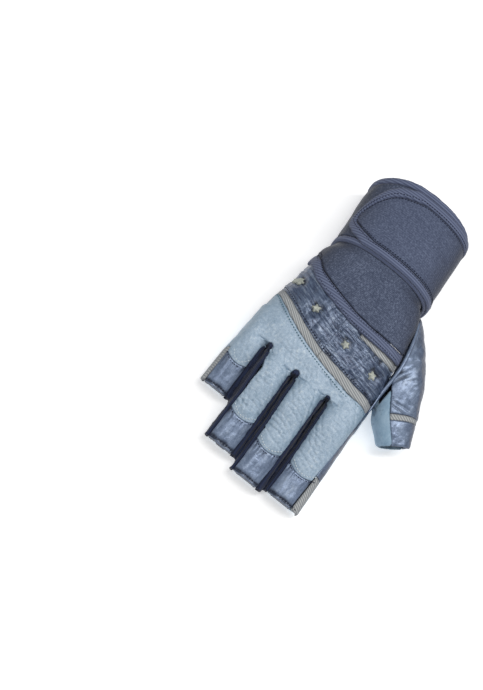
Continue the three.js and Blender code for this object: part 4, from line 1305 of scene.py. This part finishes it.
@dataclass
class Stitching:
    """Rows of stitches in three threads."""

    stitch: Stitch = field(default_factory=Stitch)
    rows: dict[Stuff, list[tuple[Points, Points, Points]]] = field(default_factory=dict)

    @staticmethod
    def paced(points: Points, pitch: float) -> tuple[Points, Points]:
        """Return places at an even pitch along a line, and the way it runs at each.

        Args:
            points: The line's points.
            pitch: The distance from one stitch to the next.

        Returns:
            The places and the directions.
        """
        run = run_of(points)
        count = max(int(run[-1] / pitch), 2)
        at = (np.arange(count) + 0.5) * run[-1] / count
        way = between(points, run, at + 0.3) - between(points, run, at - 0.3)
        return between(points, run, at), unit(way)

    @staticmethod
    def dropped(xy: Points, above: bool, offset: float, members: Sequence[str] = ALL) -> Points:
        """Return points on the skin over or under flat places.

        Args:
            xy: Flat places in mm.
            above: True for the back of the hand, False for the palm.
            offset: The height over the skin.
            members: Which tubes are near.

        Returns:
            The points on the surface.
        """
        z, step = (62.0, -1.0) if above else (-6.0, 1.0)
        return settled(xy, z, step, 70, lambda p: FORM.skin(p, members) - offset)

    def row(self, stuff: Stuff, points: Points, pitch: float, surface: Surface) -> None:
        """Add a row of stitches along a line on a surface.

        Args:
            stuff: The thread.
            points: The line's points, on the surface.
            pitch: The distance from one stitch to the next.
            surface: The surface's offset, for the stitches' up direction.
        """
        points = points[np.abs(surface(points)) < 8]
        if len(points) < 2:
            return
        place, way = self.paced(points, pitch)
        up = unit(rise(surface, place, surface(place), 0.1))
        self.rows.setdefault(stuff, []).append((place, way, up))

    def flat_row(self, stuff: Stuff, xs: Points, ys: Points, above: bool = True, offset: float = 0.1,
                 pitch: float = 2.1, members: Sequence[str] = ALL) -> None:
        """Add a row over flat places on the back or the palm."""
        self.row(stuff, self.dropped(np.stack((xs, ys), 1), above, offset, members), pitch,
                 lambda p: FORM.skin(p, members))

    def wrap_row(self, stuff: Stuff, angles: Points, ys: Points, offset: float, pitch: float = 2.1) -> None:
        """Add a row round the wrist."""
        self.row(stuff, FORM.wrap_point(angles, ys, offset), pitch, FORM.body)

    def back_rows(self) -> None:
        """Add the rows on the back of the hand and on the finger tips."""
        xs = np.linspace(-49.5, 47, 120)
        self.flat_row(Stuff.TEAL, xs, LEATHER_SEAM(xs) + 2.0, members=HAND)
        self.flat_row(Stuff.DARK, xs, BAND_SEAM(xs) - 1.3, members=HAND, offset=0.5)
        t = np.linspace(-0.8, 0.8, 40)
        for name in FINGERS:
            f = FORM.fingers[name]
            end = np.array([f.tongue])
            half, x = f.half(end)[0], f.x(end)[0]
            arch = f.tongue - 4.5 * t * t + rounded(t)
            near = 0.68 if name == "pinky" else 0.86
            self.flat_row(Stuff.PALE, x + t * half * near, arch - 1.8, members=HAND, pitch=2.0)
            self.flat_row(Stuff.DARK, x + t * half * 0.98, arch + 1.3, members=HAND, pitch=1.9)
            rim = np.full(40, f.tip - 0.4)
            self.flat_row(Stuff.DARK, f.x(rim) + t * f.half(rim), rim, members=(name,), pitch=2.0)

    def wrap_rows(self) -> None:
        """Add the rows on the wrap and on its strap."""
        angles = np.linspace(-0.5, math.pi + 0.5, 160)
        self.wrap_row(Stuff.DARK, angles, np.full(len(angles), RING_TOP - 3.9), 4.5)
        for inset, height in ((7.3, 6.4), (4.6, 6.9)):
            self.wrap_row(Stuff.DARK, *strap_edge(inset), height)
        xs = np.linspace(-43, 43, 110)
        height = 2.5
        for drop in (1.4, 6.2):
            flat = np.stack((xs, CUFF_SEAM(xs) - drop), 1)
            line = settled(flat, 60.0, -1.0, 60, lambda p: FORM.body(p) - height)
            self.row(Stuff.DARK, line[np.abs(FORM.body(line) - height) < 0.3], 2.1, FORM.body)

    def palm_rows(self) -> None:
        """Add the rows round the palm's suede pieces."""
        xs = np.linspace(-44, 46, 120)
        self.flat_row(Stuff.PALE, xs, SUEDE_SEAM(xs) + 1.6, above=False, members=HAND)
        turn = np.linspace(0, 2 * math.pi, 60)
        for x, y in grip_pads():
            self.flat_row(Stuff.PALE, x + PAD_RING * np.cos(turn), y + PAD_RING * np.sin(turn), False, 0.1, 1.9, HAND)
        for name in ("heel_pad_outer", "heel_pad_long", "heel_pad_inner"):
            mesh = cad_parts[name].data
            flat = np.array([v.co.xy for v in mesh.vertices]) * 1000 - ORIGIN[:2]
            hull = flat[convex_hull_2d(flat.tolist())]
            middle = hull.mean(0)
            edge = hull - middle
            edge *= 1 - 1.8 / np.linalg.norm(edge, axis=1, keepdims=True)
            ring = np.vstack((edge, edge[:1])) + middle
            run = run_of(ring)
            places = between(ring, run, np.linspace(0, run[-1], 160))
            below = [Vector((*((q + ORIGIN[:2]) / 1000), -0.05)) for q in places]
            pad = BVHTree.FromPolygons([v.co for v in mesh.vertices], [tuple(f.vertices) for f in mesh.polygons])
            under = np.array([pad.ray_cast(q, Vector((0, 0, 1)))[0] is not None for q in below])
            first = int(np.argmin(under)) if not all(under) else 0
            places, under = np.roll(places, -first, axis=0), np.roll(under, -first)
            self.flat_row(Stuff.PALE, *places[under].T, False, 2.75, 1.9)

    def build(self) -> None:
        """Make one piece of each thread from all its rows."""
        self.back_rows()
        self.wrap_rows()
        self.palm_rows()
        co, faces = self.stitch.model()
        for stuff, rows in self.rows.items():
            place, way, up = (np.concatenate(column) for column in zip(*rows))
            side = unit(np.cross(up, way))
            way = np.cross(side, up)
            points = (place[:, None] + co[None, :, :1] * way[:, None] + co[None, :, 1:2] * side[:, None]
                      + co[None, :, 2:] * up[:, None]).reshape(-1, 3)
            polygons = [tuple(i + k * len(co) for i in face) for k in range(len(place)) for face in faces]
            piece = modelled(stuff.value.name.replace("_finish", "_rows"), points, polygons, stuff)
            log.info("%s: %d stitches", piece.name, len(place))


@dataclass
class BackOfHand:
    """The back's leather, its elastics and the star band."""

    puff: float = 0.3

    def panels(self) -> list[Panel]:
        """Return the back's pieces."""
        stars = [
            Panel(f"star_{i}", Stuff.STAR, "elastic", members=HAND, voxel=0.35, roll=0.4, lift=0.9, smooth=1,
                  swell=0.6)
            for i in range(1, 5)
        ]
        return [
            Panel("back_leather", Stuff.SKY, "sky_leather", members=HAND, voxel=0.5, relief=Reliefs.back, sink=0.25,
                  stretch=rounder_tongues, smooth=1),
            Panel("front_elastic", Stuff.ELASTIC, "elastic", members=HAND, lift=-0.2, voxel=0.6,
                  relief=Reliefs.puffed(self.puff, 3), turn=along_seam(BAND_SEAM)),
            Panel("star_band", Stuff.BAND, "band_leather", members=HAND, voxel=0.45, relief=Reliefs.band, sink=0.3,
                  smooth=1, turn=along_seam(BAND_SEAM)),
            Panel("rear_elastic", Stuff.ELASTIC, "elastic", members=HAND, lift=-0.2, voxel=0.5,
                  turn=along_seam(REAR_SEAM)),
            *stars,
        ]


@dataclass
class FingerEnds:
    """The leather finger tips, their side strips and the gussets between the fingers."""

    gusset_roll: float = 0.9

    def panels(self) -> list[Panel]:
        """Return the fingers' pieces."""
        tips = [
            Panel(f"{name}_tip", Stuff.NAVY, "navy_leather", members=HAND, voxel=0.5, relief=Reliefs.tip(name),
                  stretch=rounder_tongues)
            for name in FINGERS
        ]
        gussets = [
            Panel(f"gusset_{a}_{b}", Stuff.GUSSET, "gusset_cloth", members=("body", a, b), voxel=0.6,
                  roll=self.gusset_roll, relief=Reliefs.gusset(a, b), blend=1.2, reach=1.6)
            for a, b in zip(FINGERS, FINGERS[1:])
        ]
        return [
            *tips,
            Panel("index_side", Stuff.NAVY, "navy_leather", members=("body", "index", "thumb"), voxel=0.5,
                  relief=Reliefs.waved(5, 0.6)),
            Panel("index_elastic", Stuff.ELASTIC, "elastic", members=("body", "index"), voxel=0.5),
            Panel("pinky_elastic", Stuff.ELASTIC, "elastic", members=("body", "pinky"), voxel=0.5),
            *gussets,
        ]


@dataclass
class Thumb:
    """The thumb's leather back and tip, its band, its gusset and its suede inside."""

    members: Sequence[str] = ("body", "index", "thumb")

    def welt(self) -> Welt:
        """Return the rolled seam that joins the thumb's leather to the edge of the hand."""
        rows = np.array(((-0.985, 0.8), (-0.968, 0.5), (-0.96, 0.28), (-0.93, 0.12), (-0.87, -0.07), (-0.78, -0.24)))
        xs = rows[:, 0] * HAND_WIDTH / 2
        t = np.linspace(0, 1, 90)
        order = np.linspace(0, 1, len(rows))
        line = np.stack((Curve(order, xs)(t), Curve(order, along_hand(rows[:, 1]))(t)), 1)
        return Welt("thumb_seam_welt", Stuff.NAVY, "navy_leather", Stitching.dropped(line, True, 0.5))

    def panels(self) -> list[Panel]:
        """Return the thumb's pieces."""
        return [
            Panel("thumb_back", Stuff.NAVY, "navy_leather", members=self.members, voxel=0.55, relief=Reliefs.thumb),
            Panel("thumb_band", Stuff.ELASTIC, "elastic", members=("thumb",), voxel=0.5),
            Panel("thumb_tip", Stuff.NAVY, "navy_leather", members=("thumb",), voxel=0.5, swell=0.6,
                  relief=Reliefs.waved(6, 0.7), stretch=short_below),
            Panel("thumb_gusset", Stuff.GUSSET, "gusset_cloth", members=self.members, voxel=0.4, stretch=short_below),
            Panel("thumb_palm", Stuff.SUEDE, "sky_suede", members=self.members, swell=0.6,
                  relief=Reliefs.waved(12, 0.8), stretch=short_below),
        ]


@dataclass
class Palm:
    """The palm's suede, its dots, its cloth and its sewn-on pads."""

    fill: float = 0.5

    def panels(self) -> list[Panel]:
        """Return the palm's pieces."""
        pads = [
            Panel(name, Stuff.SUEDE, "sky_suede", Layer.PAD, voxel=0.6, roll=1.1,
                  relief=Reliefs.puffed(0.5, 5), fill=self.fill)
            for name in ("palm_patch", "heel_pad_outer", "heel_pad_long", "heel_pad_inner")
        ]
        dots = [
            Panel(f"grip_dot_{i}", Stuff.CHARCOAL, "charcoal_cloth", members=HAND, voxel=0.4, lift=-0.5)
            for i in range(1, 8)
        ]
        return [
            Panel("finger_palm", Stuff.SUEDE, "sky_suede", members=HAND, relief=Reliefs.finger_palm,
                  stretch=past_tips),
            Panel("palm_cloth", Stuff.CHARCOAL, "charcoal_cloth", relief=Reliefs.waved(16, 1.0)),
            *pads,
            *dots,
        ]


@dataclass
class Wrap:
    """The cuff, the wound wrap and the strap that closes it."""

    rim: float = 0.7

    @staticmethod
    def binding(node: str, layer: Layer, height: float, width: float) -> Panel:
        """Return a puffed binding or tape that runs round the wrist."""
        return Panel(node, Stuff.BINDING, "binding_cloth", layer, voxel=0.6, relief=Reliefs.puffed(height, width),
                     turn=round_wrist)

    def panels(self) -> list[Panel]:
        """Return the wrap's pieces."""
        return [
            Panel("cuff_panel", Stuff.SLATE, "slate_cloth", Layer.CUFF, cloth=(0.170, 0.072, 0.0088),
                  relief=Reliefs.waved(15, 0.9, 0.6), turn=round_wrist),
            self.binding("cuff_binding", Layer.CUFF, self.rim, 3.4),
            Panel("wrap_ring", Stuff.SLATE, "slate_cloth", Layer.RING, cloth=(0.201, 0.053, 0.0106),
                  relief=Reliefs.waved(15, 0.9, 0.3), turn=round_wrist),
            self.binding("ring_top_binding", Layer.RING, self.rim, 2.4),
            self.binding("ring_end_binding", Layer.RING, self.rim, 2.4),
            Panel("strap_tab", Stuff.TAB, "slate_cloth", Layer.STRAP, cloth=(0.096, 0.044, 0.0040),
                  relief=Reliefs.waved(18, 0.7, 0.2), turn=round_wrist),
            Panel("strap_patch", Stuff.CHARCOAL, "charcoal_cloth", Layer.STRAP, cloth=(0.064, 0.044, 0.0028),
                  turn=round_wrist),
            self.binding("strap_seam_tape", Layer.STRAP, 0.3, 3),
            self.binding("strap_binding", Layer.STRAP, self.rim, 2.9),
        ]


@dataclass(frozen=True)
class Lamp:
    """One soft box over the glove, in metres and watts."""

    name: str
    place: tuple[float, float, float]
    size: tuple[float, float]
    power: float

    def hang(self) -> None:
        """Hang the lamp so that it faces the glove."""
        data = bpy.data.lights.new(self.name, "AREA")
        data.shape = "RECTANGLE"
        data.size, data.size_y = self.size
        data.energy = self.power
        light = bpy.data.objects.new(self.name, data)
        bpy.context.scene.collection.objects.link(light)
        light.location = self.place
        light.rotation_euler = (Vector((0, 0, 0.02)) - light.location).to_track_quat("-Z", "Y").to_euler()


@dataclass
class Studio:
    """The pale floor, the soft lights and the camera.

    The camera's scale is in pixels to a millimetre, and its sensor in millimetres. The hand's origin is seen at one
    pixel of the picture and the view is aimed at another, at the height of the aimed point.
    """

    tilt: float = math.radians(22)
    roll: float = math.radians(38.5)
    far: float = 3.0
    scale: float = 1.5
    origin_pixel: tuple[float, float] = (345.0, 320.0)
    aimed_pixel: tuple[float, float] = (241.5, 345.0)
    aimed_point: tuple[float, float, float] = (0.0, 20.0, 25.0)
    picture_height: float = 690.0
    sensor: float = 24.0
    floor_glow: float = 0.42
    sky: float = 0.24

    def camera(self) -> None:
        """Place the camera at the photograph's viewing angle."""
        ca, sa, ct, st = math.cos(self.roll), math.sin(self.roll), math.cos(self.tilt), math.sin(self.tilt)
        right = Vector((-ca, -sa * ct, sa * st))
        up = Vector((sa, -ca * ct, ca * st))
        back = right.cross(up)
        across = (self.aimed_pixel[0] - self.origin_pixel[0]) / self.scale
        raised = -(self.aimed_pixel[1] - self.origin_pixel[1]) / self.scale
        level = back.dot(Vector(self.aimed_point))
        aim = (right * across + up * raised + back * level + Vector(ORIGIN)) / 1000
        data = bpy.data.cameras.new("camera")
        data.sensor_fit = "VERTICAL"
        data.sensor_height = self.sensor
        data.lens = self.sensor * self.far / (self.picture_height / self.scale / 1000)
        data.clip_end = 20
        camera = bpy.data.objects.new("camera", data)
        bpy.context.scene.collection.objects.link(camera)
        turn = Matrix((right, up, back)).transposed().to_4x4()
        camera.matrix_world = Matrix.Translation(aim + back * self.far) @ turn
        bpy.context.scene.camera = camera

    def floor(self) -> None:
        """Lay the pale floor."""
        bpy.ops.object.select_all(action="DESELECT")
        bpy.ops.mesh.primitive_plane_add(size=6, location=(0, 0, -0.0004))
        floor = bpy.context.object
        floor.name = "floor"
        bench = Bench("floor_paper")
        bench.colour(bench.tones(bench.noise(3, 2), (0.3, "f8f8f8"), (0.7, "fbfbfb")))
        bench.set(roughness=0.9, specular_ior_level=0.1, emission_strength=self.floor_glow)
        bench.shader.inputs["Emission Color"].default_value = (1, 1, 1, 1)
        floor.data.materials.append(bench.material)

    def lights(self) -> None:
        """Hang one large soft light over the glove, a weaker one beside it, and a pale sky."""
        Lamp("key", (-0.42, -0.35, 1.25), (0.32, 1.5), 9.5).hang()
        Lamp("top", (0.22, 0.35, 1.35), (0.32, 1.5), 5.5).hang()
        world = bpy.data.worlds.new("studio")
        world.use_nodes = True
        inputs = world.node_tree.nodes["Background"].inputs
        inputs["Color"].default_value = (1, 1, 1, 1)
        inputs["Strength"].default_value = self.sky
        bpy.context.scene.world = world
        bpy.context.scene.view_settings.view_transform = "Standard"

    def build(self) -> None:
        """Set up the whole studio."""
        self.camera()
        self.floor()
        self.lights()


def main() -> None:
    """Build the studio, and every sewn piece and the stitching."""
    Studio().build()
    for assembly in (BackOfHand(), FingerEnds(), Thumb(), Palm(), Wrap()):
        for panel in assembly.panels():
            panel.build()
    Thumb().welt().build()
    Stitching().build()


if __name__ == "__main__":
    main()
